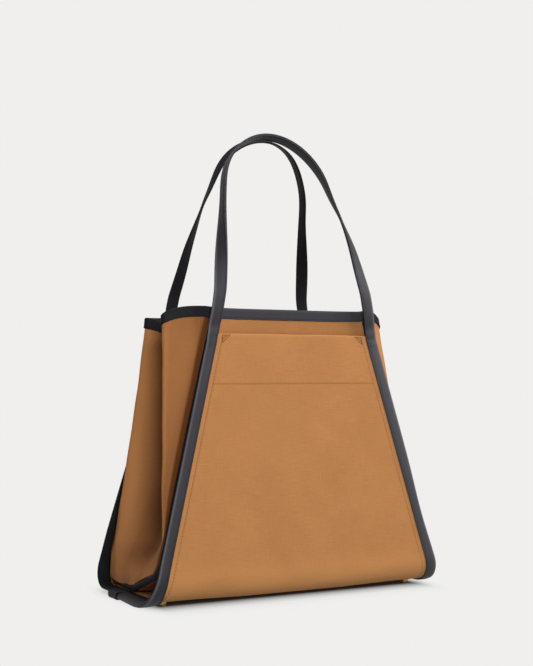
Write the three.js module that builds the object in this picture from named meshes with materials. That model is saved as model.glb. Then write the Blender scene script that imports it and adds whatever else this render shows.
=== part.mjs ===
import * as THREE from "three";

// Sizes are in millimetres. +Z is up, the bag's front faces -Y and its left side is -X.

// Materials
const canvasThickness = 1.4;
const strapLeather = 1.4;
const bindingLeather = 1.2;
const gap = 0.3;

// Outer wrap
const baseWidth = 400;
const baseDepth = 182;
const mouthDepth = 130.4;
const mouthHeight = 313.5;
const mouthWidth = 238.6;
const cornerRadius = 28;
const floorClearance = 4.2;
const facingDepth = 59;
const rearInset = 5;
const rearMouthInset = 8;

// Straps and handles
const strapWidth = 15.5;
const handleThickness = 3.4;
const handleRise = 252;
const handleTaper = 0.4;
const archSharpness = 8.3;
const rearHandleDrop = 6;
const rearHandleTaper = 0.433;
const rearArchSharpness = 13;
const rearHandleSkew = 4.9;
const handleBow = 3.5;
const bowHeight = 35;
const leanStart = 0.2;
const leanCurve = 1.25;
const twistStart = 0.15;
const twistEnd = 0.95;
const frontCrown = -3;
const rearCrown = 9;

// Inner bag
const rimRise = 31.7;
const rimBindingHeight = 11;
const bodyCornerRadius = 45;
const seamFlat = 3;
const seamSlope = 0.345;
const rearSeamSlope = 0.04;
const rearCornerInset = 8;
const seamBendRadius = 25;
const seamCornerRadius = 22;
const seamClearance = 0.7;
const pocketDepth = 8.5;
const boardThickness = 2.4;

// Side gussets: how far each fold stays inside the base's width at the rim
const leftFrontInset = 33;
const leftRearInset = 51;
const rightFrontInset = 61;
const rightRearInset = 52;
const valleyInset = 96;
const foldSpacing = 90;
const foldDrop = 12.5;
const valleyDrop = 30;
const valleyCurve = 2.2;
const foldFoot = 60;
const foldShare = 0.22;
const gussetInset = 13;
const bandWidth = 7;
const bandCover = 2;
const gussetClearance = 0.8;

// Strap keepers and feet
const keeperLength = 30;
const keeperOffset = 18;
const keeperCover = 9;
const footRadius = 5;
const footPadRadius = 3.2;
const shankRadius = 1.5;
const rivetRadius = 3;
const rivetHeight = 1.2;
const footInsetX = 30;
const footInsetY = 36;

// Levels and offsets that follow from the sizes above
const strapOut = gap + strapLeather;
const strapIn = canvasThickness + gap + strapLeather;
const baseLevel = floorClearance + strapOut;
const tilt = Math.atan2((baseDepth - mouthDepth) / 2, mouthHeight - baseLevel);
const turn = Math.PI / 2 + tilt;
const bandThickness = canvasThickness + 2 * gap + 2 * bindingLeather;
const bandInset = bandWidth + bandCover;
const panelSet = strapIn + seamClearance;
const boardLevel = baseLevel + canvasThickness + gap;
const rivetLevel = boardLevel + boardThickness + gap;
const bodyLevel = rivetLevel + rivetHeight + gap;
const bodyHalf = baseDepth / 2 - (bodyLevel - baseLevel) * Math.tan(tilt) - panelSet / Math.cos(tilt);
const rimHeight = mouthHeight + rimRise;
const rimCanvas = rimHeight - bindingLeather - gap;
const handleStart = mouthHeight + 2 * gap;
const gussetReach = baseWidth / 2 - gussetInset;
const valleyReach = baseWidth / 2 - valleyInset;

const clamp = (value, low, high) => Math.min(high, Math.max(low, value));
const mix = (a, b, t) => a + (b - a) * t;
const ease = (t) => {
  const c = clamp(t, 0, 1);
  return c * c * (3 - 2 * c);
};
const steps = (from, to, count) =>
  Array.from({ length: count + 1 }, (_, i) => mix(from, to, i / count));

// Point after a length d of a run that turns evenly from one angle to another.
function along(length, from, to, d) {
  if (from === to) return { a: from, y: d * Math.cos(from), z: d * Math.sin(from) };
  const radius = length / (to - from);
  const a = from + d / radius;
  return { a, y: radius * (Math.sin(a) - Math.sin(from)), z: radius * (Math.cos(from) - Math.cos(a)) };
}

// Side outline of one half: runs from the middle of the base up a plane that leans in.
// s is the length along it.
function outline(level, runs) {
  const parts = [];
  let start = { s: 0, y: 0, z: level };
  for (const [length, from, to] of runs) {
    parts.push({ ...start, length, from, to });
    const end = along(length, from, to, length);
    start = { s: start.s + length, y: start.y + end.y, z: start.z + end.z };
  }
  const flat = runs[0][0];
  const plane = parts[parts.length - 1];
  const corner = parts[parts.length - 2];
  const at = (s) => {
    const part = parts.findLast((run) => run.s <= s) ?? parts[0];
    const { a, y, z } = along(part.length, part.from, part.to, s - part.s);
    return { y: part.y + y, z: part.z + z, ny: Math.sin(a), nz: -Math.cos(a) };
  };
  const lengthTo = (z) => {
    if (z >= plane.z) return plane.s + (z - plane.z) / Math.sin(turn);
    let low = flat;
    let high = plane.s;
    for (let k = 0; k < 40; k += 1) {
      const middle = (low + high) / 2;
      if (at(middle).z < z) low = middle;
      else high = middle;
    }
    return low;
  };
  return { flat, arc: plane.s - flat, corner: corner.s + corner.length / 2, at, lengthTo };
}

// Flat base, one corner arc, then the plane.
function roundedOutline(half, level, radius) {
  const flat = half - radius * Math.tan(turn / 2);
  return outline(level, [
    [flat, 0, 0],
    [radius * turn, 0, turn],
    [1000, turn, turn],
  ]);
}

// Outline that rises in a slope towards its corner.
function raisedOutline(half, level, flat, slope, bend, corner) {
  const arcs = bend * Math.sin(slope) + corner * (Math.sin(turn) - Math.sin(slope));
  const climb = bend * (1 - Math.cos(slope)) + corner * (Math.cos(slope) - Math.cos(turn));
  const room = half - flat - arcs - climb * Math.tan(tilt);
  const length = room / (Math.cos(slope) + Math.sin(slope) * Math.tan(tilt));
  return outline(level, [
    [flat, 0, 0],
    [bend * slope, 0, slope],
    [length, slope, slope],
    [corner * (turn - slope), slope, turn],
    [1000, turn, turn],
  ]);
}

const wrap = roundedOutline(baseDepth / 2, baseLevel, cornerRadius);
const belly = roundedOutline(bodyHalf, bodyLevel, bodyCornerRadius);
const sideLine = (slope) =>
  raisedOutline(bodyHalf, bodyLevel, seamFlat, slope, seamBendRadius, seamCornerRadius);
const frontBody = sideLine(seamSlope);
const rearBody = sideLine(rearSeamSlope);
const bodyOf = (face) => (face < 0 ? frontBody : rearBody);
const wrapTop = wrap.lengthTo(mouthHeight);
const baseHalf = (face) => baseWidth / 2 - (face < 0 ? 0 : rearInset);
const mouthHalf = (face) => mouthWidth / 2 - (face < 0 ? 0 : rearMouthInset);
const wrapSlope = (face) =>
  (baseHalf(face) - mouthHalf(face)) / (wrap.arc / 2 + wrapTop - wrap.flat - wrap.arc);

// Half width of the wrap over its straps, and how fast it narrows, at length s.
function halfWidth(face, s) {
  const past = s - wrap.flat;
  if (past <= 0) return mix(baseHalf(-1), baseHalf(1), (face * s + wrap.flat) / (2 * wrap.flat));
  if (past < wrap.arc) return baseHalf(face) - (wrapSlope(face) * past * past) / (2 * wrap.arc);
  return baseHalf(face) - wrapSlope(face) * (past - wrap.arc / 2);
}

function narrowing(face, s) {
  if (s <= wrap.flat) return (-face * rearInset) / (2 * wrap.flat);
  return -wrapSlope(face) * clamp((s - wrap.flat) / wrap.arc, 0, 1);
}

// Point on a side outline; face is -1 for the front and 1 for the rear, out is the distance outwards.
function onOutline(shape, face, x, s, out) {
  const p = shape.at(s);
  return new THREE.Vector3(x, face * (p.y + out * p.ny), p.z + out * p.nz);
}

// Closed body from points and triangles, with its faces turned out.
function closedBody(points, faces) {
  let volume = 0;
  for (const [a, b, c] of faces) {
    volume += points[a].dot(new THREE.Vector3().crossVectors(points[b], points[c]));
  }
  const index = faces.flatMap(([a, b, c]) => (volume < 0 ? [a, c, b] : [a, b, c]));
  const geometry = new THREE.BufferGeometry();
  geometry.setAttribute(
    "position",
    new THREE.Float32BufferAttribute(points.flatMap((p) => [p.x, p.y, p.z]), 3),
  );
  geometry.setIndex(index);
  geometry.computeVertexNormals();
  return geometry;
}

// Closed body between two matching grids of points.
function sheetBody(outer, inner) {
  const rows = outer.length;
  const columns = outer[0].length;
  const points = [...outer.flat(), ...inner.flat()];
  const o = (i, j) => i * columns + j;
  const n = (i, j) => rows * columns + o(i, j);
  const faces = [];
  const quad = (a, b, c, d) => faces.push([a, b, c], [a, c, d]);
  for (let i = 0; i + 1 < rows; i += 1) {
    for (let j = 0; j + 1 < columns; j += 1) {
      quad(o(i, j), o(i, j + 1), o(i + 1, j + 1), o(i + 1, j));
      quad(n(i, j), n(i + 1, j), n(i + 1, j + 1), n(i, j + 1));
    }
    quad(o(i, 0), o(i + 1, 0), n(i + 1, 0), n(i, 0));
    quad(o(i + 1, columns - 1), o(i, columns - 1), n(i, columns - 1), n(i + 1, columns - 1));
  }
  for (let j = 0; j + 1 < columns; j += 1) {
    quad(o(0, j + 1), o(0, j), n(0, j), n(0, j + 1));
    quad(o(rows - 1, j), o(rows - 1, j + 1), n(rows - 1, j + 1), n(rows - 1, j));
  }
  return closedBody(points, faces);
}

// Closed body from rings of points in order along a path; flatRing gives the ring's shape for its two ends.
function ringBody(rings, flatRing) {
  const size = flatRing.length;
  const points = rings.flat();
  const faces = [];
  for (let i = 0; i + 1 < rings.length; i += 1) {
    for (let j = 0; j < size; j += 1) {
      const k = (j + 1) % size;
      const a = i * size;
      faces.push([a + j, a + k, a + size + k], [a + j, a + size + k, a + size + j]);
    }
  }
  const contour = flatRing.map(([x, y]) => new THREE.Vector2(x, y));
  const ccw = THREE.ShapeUtils.isClockWise(contour) ? -1 : 1;
  const last = (rings.length - 1) * size;
  for (const [a, b, c] of THREE.ShapeUtils.triangulateShape(contour, [])) {
    if (ccw > 0) {
      faces.push([a, c, b], [last + a, last + b, last + c]);
    } else {
      faces.push([a, b, c], [last + a, last + c, last + b]);
    }
  }
  return closedBody(points, faces);
}

// Outer canvas: one strip down the front, under the base and up the rear.
function wrapFace(face) {
  const arcEnd = wrap.flat + wrap.arc;
  const lengths = [...steps(wrap.flat + gap / 2, arcEnd, 8), wrapTop];
  const row = (s, out) => {
    const half = halfWidth(face, s) - (strapLeather + gap) * Math.hypot(1, narrowing(face, s));
    return [-half, half].map((x) => onOutline(wrap, face, x, s, out));
  };
  return sheetBody(
    lengths.map((s) => row(s, 0)),
    lengths.map((s) => row(s, -canvasThickness)),
  );
}

// Hem layer behind the pocket mouth.
function facing(face) {
  const lengths = [wrap.lengthTo(mouthHeight - facingDepth), wrapTop];
  const row = (s, out) => {
    const half = halfWidth(face, s) - (strapWidth + gap) * Math.hypot(1, narrowing(face, s));
    return [-half, half].map((x) => onOutline(wrap, face, x, s, out));
  };
  return sheetBody(
    lengths.map((s) => row(s, -canvasThickness - gap)),
    lengths.map((s) => row(s, -2 * canvasThickness - gap)),
  );
}

// Place of a foot on the base.
const footAt = (face, side) => [side * (baseHalf(face) - footInsetX), face * (baseDepth / 2 - footInsetY)];

// Flat sheet from the points of its edge, with a hole at each foot where it is pierced.
function floorSheet(edge, level, thickness, pierced) {
  const shape = new THREE.Shape(edge.map(([x, y]) => new THREE.Vector2(x, y)));
  if (pierced) {
    for (const side of [-1, 1]) {
      for (const face of [-1, 1]) {
        const hole = new THREE.Path();
        hole.absarc(...footAt(face, side), shankRadius + gap, 0, 2 * Math.PI, true);
        shape.holes.push(hole);
      }
    }
  }
  const geometry = new THREE.ExtrudeGeometry(shape, {
    depth: thickness,
    bevelEnabled: false,
    curveSegments: 8,
  });
  geometry.translate(0, 0, level);
  return geometry;
}

// Folded strap over the wrap's edge, from the keeper round the corner to the pocket mouth.
const strapSection = [
  [0, -strapIn],
  [strapWidth, -strapIn],
  [strapWidth, -canvasThickness - gap],
  [strapLeather, -canvasThickness - gap],
  [strapLeather, gap],
  [strapWidth, gap],
  [strapWidth, strapOut],
  [0, strapOut],
];

function sewnStrap(face, side) {
  const start = face * keeperOffset + gap / 2;
  const arcEnd = wrap.flat + wrap.arc;
  const lengths = [start, ...steps(wrap.flat, arcEnd, 10), wrapTop - 2 * strapWidth, wrapTop];
  const rings = lengths.map((s) => {
    const slope = narrowing(face, s);
    const scale = Math.hypot(1, slope);
    const square = ease((s - wrapTop + 2 * strapWidth) / strapWidth);
    return strapSection.map(([across, out]) => {
      const x = side * (halfWidth(face, s) - mix(across / scale, across * scale, square));
      return onOutline(wrap, face, x, s + (1 - square) * ((slope * across) / scale), out);
    });
  });
  return ringBody(rings, strapSection);
}

// Sleeve over the two strap ends on the base's side edge.
function keeper(side) {
  const low = -strapIn - gap;
  const high = strapOut + gap;
  const section = [
    [-gap - bindingLeather, low - bindingLeather],
    [keeperCover, low - bindingLeather],
    [keeperCover, low],
    [-gap, low],
    [-gap, high],
    [keeperCover, high],
    [keeperCover, high + bindingLeather],
    [-gap - bindingLeather, high + bindingLeather],
  ];
  const rings = [-0.5, 0.5].map((end) =>
    section.map(([across, out]) => {
      const s = keeperOffset + end * keeperLength;
      return onOutline(wrap, 1, side * (halfWidth(1, s) - across), s, out);
    }),
  );
  return ringBody(rings, section);
}

// Seam of the gusset: its line along the inner bag's side outline, and how the gusset leaves it.
function seamX(face, s) {
  const body = bodyOf(face);
  const share = clamp(s / body.corner, 0, 1);
  const drawnIn = face < 0 ? 0 : rearCornerInset * share ** 2;
  const reach = gussetReach - rearInset * (0.5 + 0.5 * face * share) - drawnIn;
  return Math.min(halfWidth(face, wrap.lengthTo(body.at(s).z)) - bandInset, reach);
}

const seamTop = (face) => bodyOf(face).lengthTo(rimCanvas);

function seamTurn(face, s) {
  const { flat } = bodyOf(face);
  return mix(1.25, 0.14, clamp((s - flat) / (seamTop(face) - flat), 0, 1) ** 0.6);
}

function seamPoint(side, face, s) {
  const p = bodyOf(face).at(s);
  const a = seamTurn(face, s);
  const settle = bodyLevel - baseLevel - strapIn - gap;
  const out = settle * Math.sin(a) ** 12 - (bandThickness / 2) * Math.cos(a);
  return new THREE.Vector3(side * seamX(face, s), face * (p.y + out * p.ny), p.z + out * p.nz);
}

// Frame of the seam: its point, the way the gusset leaves it, and the way through the gusset's thickness.
function seamFrame(side, face, s) {
  const d = 0.5;
  const p = bodyOf(face).at(s);
  const a = seamTurn(face, s);
  const leave = new THREE.Vector3(side * Math.cos(a), -face * p.ny * Math.sin(a), -p.nz * Math.sin(a));
  const run = seamPoint(side, face, s + d).sub(seamPoint(side, face, s - d));
  const through = new THREE.Vector3().crossVectors(run, leave).multiplyScalar(face).normalize();
  const into = new THREE.Vector3().crossVectors(through, run).multiplyScalar(face).normalize();
  return { at: seamPoint(side, face, s), into, through };
}

// Bound seam of the gusset, a flat band that runs down the front, along the base and up the rear.
function gussetBand(side) {
  const half = (face) => {
    const { flat, arc } = bodyOf(face);
    return [
      ...steps(0, flat, 2),
      ...steps(flat, flat + arc, 12).slice(1),
      ...steps(flat + arc, seamTop(face), 6).slice(1),
    ];
  };
  const stations = [...half(-1).slice(1).reverse().map((s) => [-1, s]), ...half(1).map((s) => [1, s])];
  const section = [
    [0, -bandThickness / 2],
    [bandWidth, -bandThickness / 2],
    [bandWidth, bandThickness / 2],
    [0, bandThickness / 2],
  ];
  const rings = stations.map(([face, s]) => {
    const { at, into, through } = seamFrame(side, face, s);
    return section.map(([a, b]) => at.clone().addScaledVector(into, a).addScaledVector(through, b));
  });
  return ringBody(rings, section);
}

// Gusset: straight along its seam and base, folded in like a W at the rim. u runs front to rear, v upwards.
function gussetEdge(side, face, s) {
  const { at, into } = seamFrame(side, face, s);
  return at.addScaledVector(into, bandWidth + gussetClearance);
}

function gussetPoint(side, u, v) {
  const front = baseWidth / 2 - (side < 0 ? leftFrontInset : rightFrontInset);
  const rear = baseWidth / 2 - (side < 0 ? leftRearInset : rightRearInset);
  const ends = [-1, 1].map((face) => gussetEdge(side, face, mix(bodyOf(face).corner, seamTop(face), v)));
  const foot = [-1, 1].map((face) => gussetEdge(side, face, bodyOf(face).corner));
  const along = mix(-frontBody.corner, rearBody.corner, u);
  const low = gussetEdge(side, along < 0 ? -1 : 1, Math.abs(along));
  const sag = low.sub(foot[0].clone().lerp(foot[1], u));
  const straight = ends[0].clone().lerp(ends[1], u).addScaledVector(sag, (1 - v) ** 3);
  const z = straight.z;
  const rise = clamp((z - foldFoot) / (rimCanvas - foldFoot), 0, 1);
  const deep = clamp((z - bodyLevel) / (rimCanvas - bodyLevel), 0, 1);
  const foldY = mix(bodyHalf - bodyCornerRadius / 4, foldSpacing / 2, rise ** 0.8);
  const foldX = (reach) => side * mix(gussetReach - bandThickness * 2, reach, rise);
  const valleyX = side * mix(gussetReach, valleyReach, 1 - (1 - deep) ** valleyCurve);
  const knots = [
    [0, ends[0].x, ends[0].y],
    [0.26, foldX(front), -foldY],
    [0.5, valleyX, 0],
    [0.74, foldX(rear), foldY],
    [1, ends[1].x, ends[1].y],
  ];
  const corner = (t) => {
    const k = Math.max(1, knots.findIndex(([at]) => t <= at));
    const share = (t - knots[k - 1][0]) / (knots[k][0] - knots[k - 1][0]);
    return [mix(knots[k - 1][1], knots[k][1], share), mix(knots[k - 1][2], knots[k][2], share)];
  };
  const spread = Math.min(0.055, u, 1 - u);
  const around = [-1, -0.5, 0, 0.5, 1].map((w) => corner(clamp(u + w * spread, 0, 1)));
  const mean = (axis) => around.reduce((sum, p) => sum + p[axis], 0) / around.length;
  const folded = ease(v / foldShare);
  const leg = clamp(Math.min(u, 1 - u) / 0.26, 0, 1);
  const drop = foldDrop * (u < 0.5 ? leg * ease(leg) : 1 - (1 - leg) ** 3);
  const dip = (valleyDrop - foldDrop) * ease((Math.min(u, 1 - u) - 0.26) / 0.24);
  return new THREE.Vector3(
    mix(straight.x, mean(0), folded),
    mix(straight.y, mean(1), folded),
    z - (drop + dip) * v ** 4,
  );
}

function gussetNormal(side, u, v) {
  const d = 0.004;
  const du = gussetPoint(side, Math.min(1, u + d), v).sub(gussetPoint(side, Math.max(0, u - d), v));
  const dv = gussetPoint(side, u, Math.min(1, v + d)).sub(gussetPoint(side, u, Math.max(0, v - d)));
  return du.cross(dv).normalize();
}

const ridgeShares = [0.18, 0.205, 0.23, 0.245, 0.26, 0.275, 0.29, 0.315, 0.34];
const foldShares = [0, 0.045, 0.09, ...ridgeShares, 0.42, 0.445, 0.47];
const gussetColumns = [...foldShares, 0.5, ...foldShares.map((u) => 1 - u).reverse()];

// Share of the gusset's height at which the rim binding ends.
const rimShare = 1 - rimBindingHeight / (seamTop(-1) - frontBody.corner);

function gusset(side) {
  const rows = [0, 0.03, 0.06, 0.09, 0.13, 0.2, 0.3, 0.42, 0.58, 0.76, 0.9, rimShare, 1];
  const layer = (out) =>
    rows.map((v) =>
      gussetColumns.map((u) => gussetPoint(side, u, v).addScaledVector(gussetNormal(side, u, v), out)),
    );
  return sheetBody(layer(canvasThickness / 2), layer(-canvasThickness / 2));
}

// Folded binding over a canvas edge, from the edge's points, the points below them and the canvas normals.
function foldedBinding(stations) {
  const near = canvasThickness / 2 + gap;
  const far = near + bindingLeather;
  const flatRing = [
    [far, 0],
    [far, 2],
    [-far, 2],
    [-far, 0],
    [-near, 0],
    [-near, 1],
    [near, 1],
    [near, 0],
  ];
  const rings = stations.map(({ top, low, topNormal, lowNormal }) => {
    const up = new THREE.Vector3().subVectors(top, low).normalize();
    return flatRing.map(([out, level]) => {
      const point = (level ? top : low).clone().addScaledVector(level ? topNormal : lowNormal, out);
      if (level) point.addScaledVector(up, level === 2 ? gap + bindingLeather : gap);
      return point;
    });
  });
  return ringBody(rings, flatRing);
}

function sideRim(side) {
  return foldedBinding(
    gussetColumns.map((u) => ({
      top: gussetPoint(side, u, 1),
      low: gussetPoint(side, u, rimShare),
      topNormal: gussetNormal(side, u, 1),
      lowNormal: gussetNormal(side, u, rimShare),
    })),
  );
}

// Inner front or rear: the back of the slip pocket, set back at its middle and raised at its lower corners.
function panelHalf(face, s) {
  return seamX(face, s) - 2 * gap - (bandThickness / 2) * Math.sin(seamTurn(face, s));
}

const bellyTop = belly.lengthTo(rimCanvas);

function bellyLength(face, s) {
  const body = bodyOf(face);
  const past = s - body.flat - body.arc;
  if (past < 0) return belly.flat + belly.arc * (1 + past / body.arc);
  return mix(belly.flat + belly.arc, bellyTop, past / (seamTop(face) - body.flat - body.arc));
}

function panelPoint(face, across, s, out) {
  const body = bodyOf(face);
  const x = across * panelHalf(face, s);
  const hollow = pocketDepth * ease((s - body.flat - body.arc) / (2 * bodyCornerRadius));
  const set = out - hollow * (1 - across ** 4);
  const middle = onOutline(belly, face, x, bellyLength(face, s), set);
  return middle.lerp(onOutline(body, face, x, s, set), across ** 4);
}

const panelShares = [-1, -0.85, -0.6, -0.3, 0, 0.3, 0.6, 0.85, 1];

function panel(face) {
  const { flat, arc } = bodyOf(face);
  const lengths = [...steps(flat + gap / 2, flat + arc, 8), ...steps(flat + arc, seamTop(face), 6).slice(1)];
  const layer = (out) => lengths.map((s) => panelShares.map((t) => panelPoint(face, t, s, out)));
  return sheetBody(layer(0), layer(-canvasThickness));
}

function panelRim(face) {
  const normal = new THREE.Vector3(0, face * Math.cos(tilt), Math.sin(tilt));
  return foldedBinding(
    panelShares.map((t) => ({
      top: panelPoint(face, t, seamTop(face), -canvasThickness / 2),
      low: panelPoint(face, t, seamTop(face) - rimBindingHeight, -canvasThickness / 2),
      topNormal: normal,
      lowNormal: normal,
    })),
  );
}

// Free length of a strap: it rises from the mouth, bows out, leans in, and turns edge-on towards its arch.
function handle(face) {
  const front = face < 0;
  const rise = front ? handleRise : handleRise - rearHandleDrop;
  const taper = front ? handleTaper : rearHandleTaper;
  const sharpness = front ? archSharpness : rearArchSharpness;
  const skew = front ? 0 : -rearHandleSkew;
  const rootHalf = mouthHalf(face) - (strapWidth / 2) * Math.hypot(1, wrapSlope(face));
  const rootY = onOutline(wrap, face, 0, wrap.lengthTo(handleStart), 0).y;
  const lean = (front ? frontCrown : rearCrown) - rootY;
  const bowAt = (t) => {
    const share = (t * rise) / bowHeight;
    return (share * Math.exp(1 - share)) ** 2;
  };
  const yAt = (t) =>
    rootY + face * handleBow * bowAt(t) + lean * Math.max(0, (t - leanStart) / (1 - leanStart)) ** leanCurve;
  const path = (t, side) => {
    const arch = Math.sqrt(Math.max(0, 1 - t ** sharpness));
    const x = side * rootHalf * (1 - taper * t) * arch + skew * bowAt(t);
    return new THREE.Vector3(x, yAt(t), handleStart + t * rise);
  };
  const shares = [
    ...steps(0, 0.84, 24),
    ...steps(0.05, 1, 20).map((a) => mix(0.84, 1, Math.sin((a * Math.PI) / 2))),
  ];
  const points = [
    ...shares.map((t) => path(t, -1)),
    ...shares.slice(0, -1).reverse().map((t) => path(t, 1)),
  ];
  const curve = new THREE.CatmullRomCurve3(points, false, "centripetal");
  curve.arcLengthDivisions = 800;
  const stations = curve.getSpacedPoints(56);
  const bevel = handleThickness / 5;
  const a = strapWidth / 2;
  const b = handleThickness / 2;
  const section = [
    [-a, -b + bevel],
    [-a + bevel, -b],
    [a - bevel, -b],
    [a, -b + bevel],
    [a, b - bevel],
    [a - bevel, b],
    [-a + bevel, b],
    [-a, b - bevel],
  ];
  const rings = stations.map((at, i) => {
    const before = stations[Math.max(0, i - 1)];
    const after = stations[Math.min(stations.length - 1, i + 1)];
    const run = new THREE.Vector3().subVectors(after, before).normalize();
    const t = (at.z - handleStart) / rise;
    const step = 0.01;
    const phi = Math.atan2(-face * (yAt(t + step) - yAt(Math.max(0, t - step))), 2 * step * rise);
    const outward = new THREE.Vector3(0, face * Math.cos(phi), Math.sin(phi));
    const radial = new THREE.Vector3().crossVectors(run, outward).multiplyScalar(face).normalize();
    const theta = (Math.PI / 2) * ease((t - twistStart) / (twistEnd - twistStart));
    const normal = outward.clone().multiplyScalar(Math.cos(theta));
    normal.addScaledVector(radial, Math.sin(theta)).normalize();
    const wide = new THREE.Vector3().crossVectors(run, normal).normalize();
    const level = new THREE.Vector3(i < stations.length / 2 ? -face : face, 0, 0);
    wide.lerp(level, 1 - ease((t * rise) / (2 * strapWidth))).normalize();
    return section.map(([p, q]) => at.clone().addScaledVector(wide, p).addScaledVector(normal, q));
  });
  return ringBody(rings, section);
}

// Riveted foot: domed pad, shank through the base layers, and a head above the board.
function foot() {
  const collar = baseLevel - gap;
  const profile = [
    [0, 0],
    [footPadRadius, 0],
    [mix(footPadRadius, footRadius, 0.6), collar * 0.14],
    [mix(footPadRadius, footRadius, 0.9), collar * 0.38],
    [footRadius, collar * 0.68],
    [footRadius, collar],
    [shankRadius, collar],
    [shankRadius, rivetLevel],
    [rivetRadius, rivetLevel],
    [rivetRadius, rivetLevel + rivetHeight],
    [0, rivetLevel + rivetHeight],
  ];
  const round = 20;
  const points = [];
  for (const [r, z] of profile.slice(1, -1)) {
    for (let k = 0; k < round; k += 1) {
      const a = (2 * Math.PI * k) / round;
      points.push(new THREE.Vector3(r * Math.cos(a), r * Math.sin(a), z));
    }
  }
  const count = profile.length - 2;
  const below = points.length;
  points.push(new THREE.Vector3(0, 0, 0), new THREE.Vector3(0, 0, rivetLevel + rivetHeight));
  const faces = [];
  for (let k = 0; k < round; k += 1) {
    const next = (k + 1) % round;
    for (let i = 0; i + 1 < count; i += 1) {
      const low = i * round;
      const high = low + round;
      faces.push([low + k, low + next, high + next], [low + k, high + next, high + k]);
    }
    faces.push([below, next, k]);
    faces.push([below + 1, (count - 1) * round + k, (count - 1) * round + next]);
  }
  return closedBody(points, faces);
}

const finishes = {
  canvas: { color: 0xb9804f, roughness: 0.92, metalness: 0 },
  leather: { color: 0x232226, roughness: 0.5, metalness: 0 },
  board: { color: 0x8d7358, roughness: 0.95, metalness: 0 },
  brass: { color: 0xc08a45, roughness: 0.3, metalness: 1 },
};

const bag = new THREE.Group();
bag.name = "tote_bag";

function add(name, geometry, finish) {
  const mesh = new THREE.Mesh(geometry, new THREE.MeshStandardMaterial(finishes[finish]));
  mesh.name = name;
  bag.add(mesh);
}

// Edge of a sheet on the base, a clearance inside the wrap's sides.
function baseEdge(inset, halfY) {
  const front = baseHalf(-1) - inset;
  const rear = baseHalf(1) - inset;
  return [
    [-front, -halfY],
    [front, -halfY],
    [rear, halfY],
    [-rear, halfY],
  ];
}

// Edge of the inner floor, which meets the lower edges of the inner front and rear.
const floorEdge = [-1, 1].flatMap((face) =>
  panelShares.map((share) => {
    const t = -face * share;
    const { flat } = bodyOf(face);
    return [t * panelHalf(face, flat), face * (mix(belly.flat, flat, t ** 4) - gap / 2)];
  }),
);

const wrapEdge = baseEdge(strapLeather + gap, wrap.flat - gap / 2);
const boardEdge = baseEdge(strapWidth + gap, wrap.flat);
add("wrap_front", wrapFace(-1), "canvas");
add("wrap_base", floorSheet(wrapEdge, baseLevel, canvasThickness, true), "canvas");
add("wrap_rear", wrapFace(1), "canvas");
add("front_facing", facing(-1), "canvas");
add("rear_facing", facing(1), "canvas");
add("base_board", floorSheet(boardEdge, boardLevel, boardThickness, true), "board");
add("body_floor", floorSheet(floorEdge, bodyLevel, canvasThickness, false), "canvas");
add("front_panel", panel(-1), "canvas");
add("rear_panel", panel(1), "canvas");
add("left_gusset", gusset(-1), "canvas");
add("right_gusset", gusset(1), "canvas");
add("left_gusset_band", gussetBand(-1), "leather");
add("right_gusset_band", gussetBand(1), "leather");
add("front_rim_binding", panelRim(-1), "leather");
add("rear_rim_binding", panelRim(1), "leather");
add("left_rim_binding", sideRim(-1), "leather");
add("right_rim_binding", sideRim(1), "leather");
for (const [end, face] of [["front", -1], ["rear", 1]]) {
  for (const [edge, side] of [["left", -1], ["right", 1]]) {
    add(`${end}_${edge}_strap`, sewnStrap(face, side), "leather");
    const pad = foot();
    pad.translate(...footAt(face, side), 0);
    add(`${end}_${edge}_foot`, pad, "brass");
  }
  add(`${end}_handle`, handle(face), "leather");
}
add("left_keeper", keeper(-1), "leather");
add("right_keeper", keeper(1), "leather");

export default bag;
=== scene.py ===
from math import atan2, cos, pi, radians, sin, tan

import bpy
import numpy as np
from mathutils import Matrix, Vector


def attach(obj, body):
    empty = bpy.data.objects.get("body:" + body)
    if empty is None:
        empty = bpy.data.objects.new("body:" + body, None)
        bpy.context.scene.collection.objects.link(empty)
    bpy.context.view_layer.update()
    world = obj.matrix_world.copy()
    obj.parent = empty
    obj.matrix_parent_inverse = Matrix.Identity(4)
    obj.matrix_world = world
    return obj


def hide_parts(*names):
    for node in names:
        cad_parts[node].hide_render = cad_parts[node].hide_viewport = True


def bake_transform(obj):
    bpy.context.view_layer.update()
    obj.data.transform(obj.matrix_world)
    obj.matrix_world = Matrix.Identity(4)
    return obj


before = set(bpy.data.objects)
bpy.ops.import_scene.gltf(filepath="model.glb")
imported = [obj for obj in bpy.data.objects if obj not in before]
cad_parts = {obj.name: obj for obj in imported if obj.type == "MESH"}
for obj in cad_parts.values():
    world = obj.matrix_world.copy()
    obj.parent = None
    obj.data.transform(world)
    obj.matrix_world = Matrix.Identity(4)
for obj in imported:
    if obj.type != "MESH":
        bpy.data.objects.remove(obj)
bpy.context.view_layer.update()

print("frame loaded:", len(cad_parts), "solids")

millimetre = 0.001  # lengths below are in millimetres; putMesh turns them into metres
creaseAngle = radians(48)


def mix(a, b, t):  # straight blend from a to b
    return a + (b - a) * t


def ease(t, start=0.0, length=1.0):  # smooth step 3t^2 - 2t^3, over a length from its start
    t = np.clip((t - start) / length, 0.0, 1.0)
    return t * t * (3.0 - 2.0 * t)


def hump(t, middle=0.0, width=1.0):  # bell curve, e to the minus t squared, about a middle
    return np.exp(-np.square((t - middle) / width))


def unit(v):  # vectors scaled to length one
    return v / np.maximum(np.linalg.norm(v, axis=-1, keepdims=True), 1e-9)


def point(*values):  # arrays stacked as points
    return np.stack(np.broadcast_arrays(*values), axis=-1).astype(float)


def join(*rows, axis=0):  # arrays end to end
    return np.concatenate(rows, axis=axis)


def circle(count):  # even angles all the way round
    return np.linspace(0, 2 * pi, count, endpoint=False)


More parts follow.
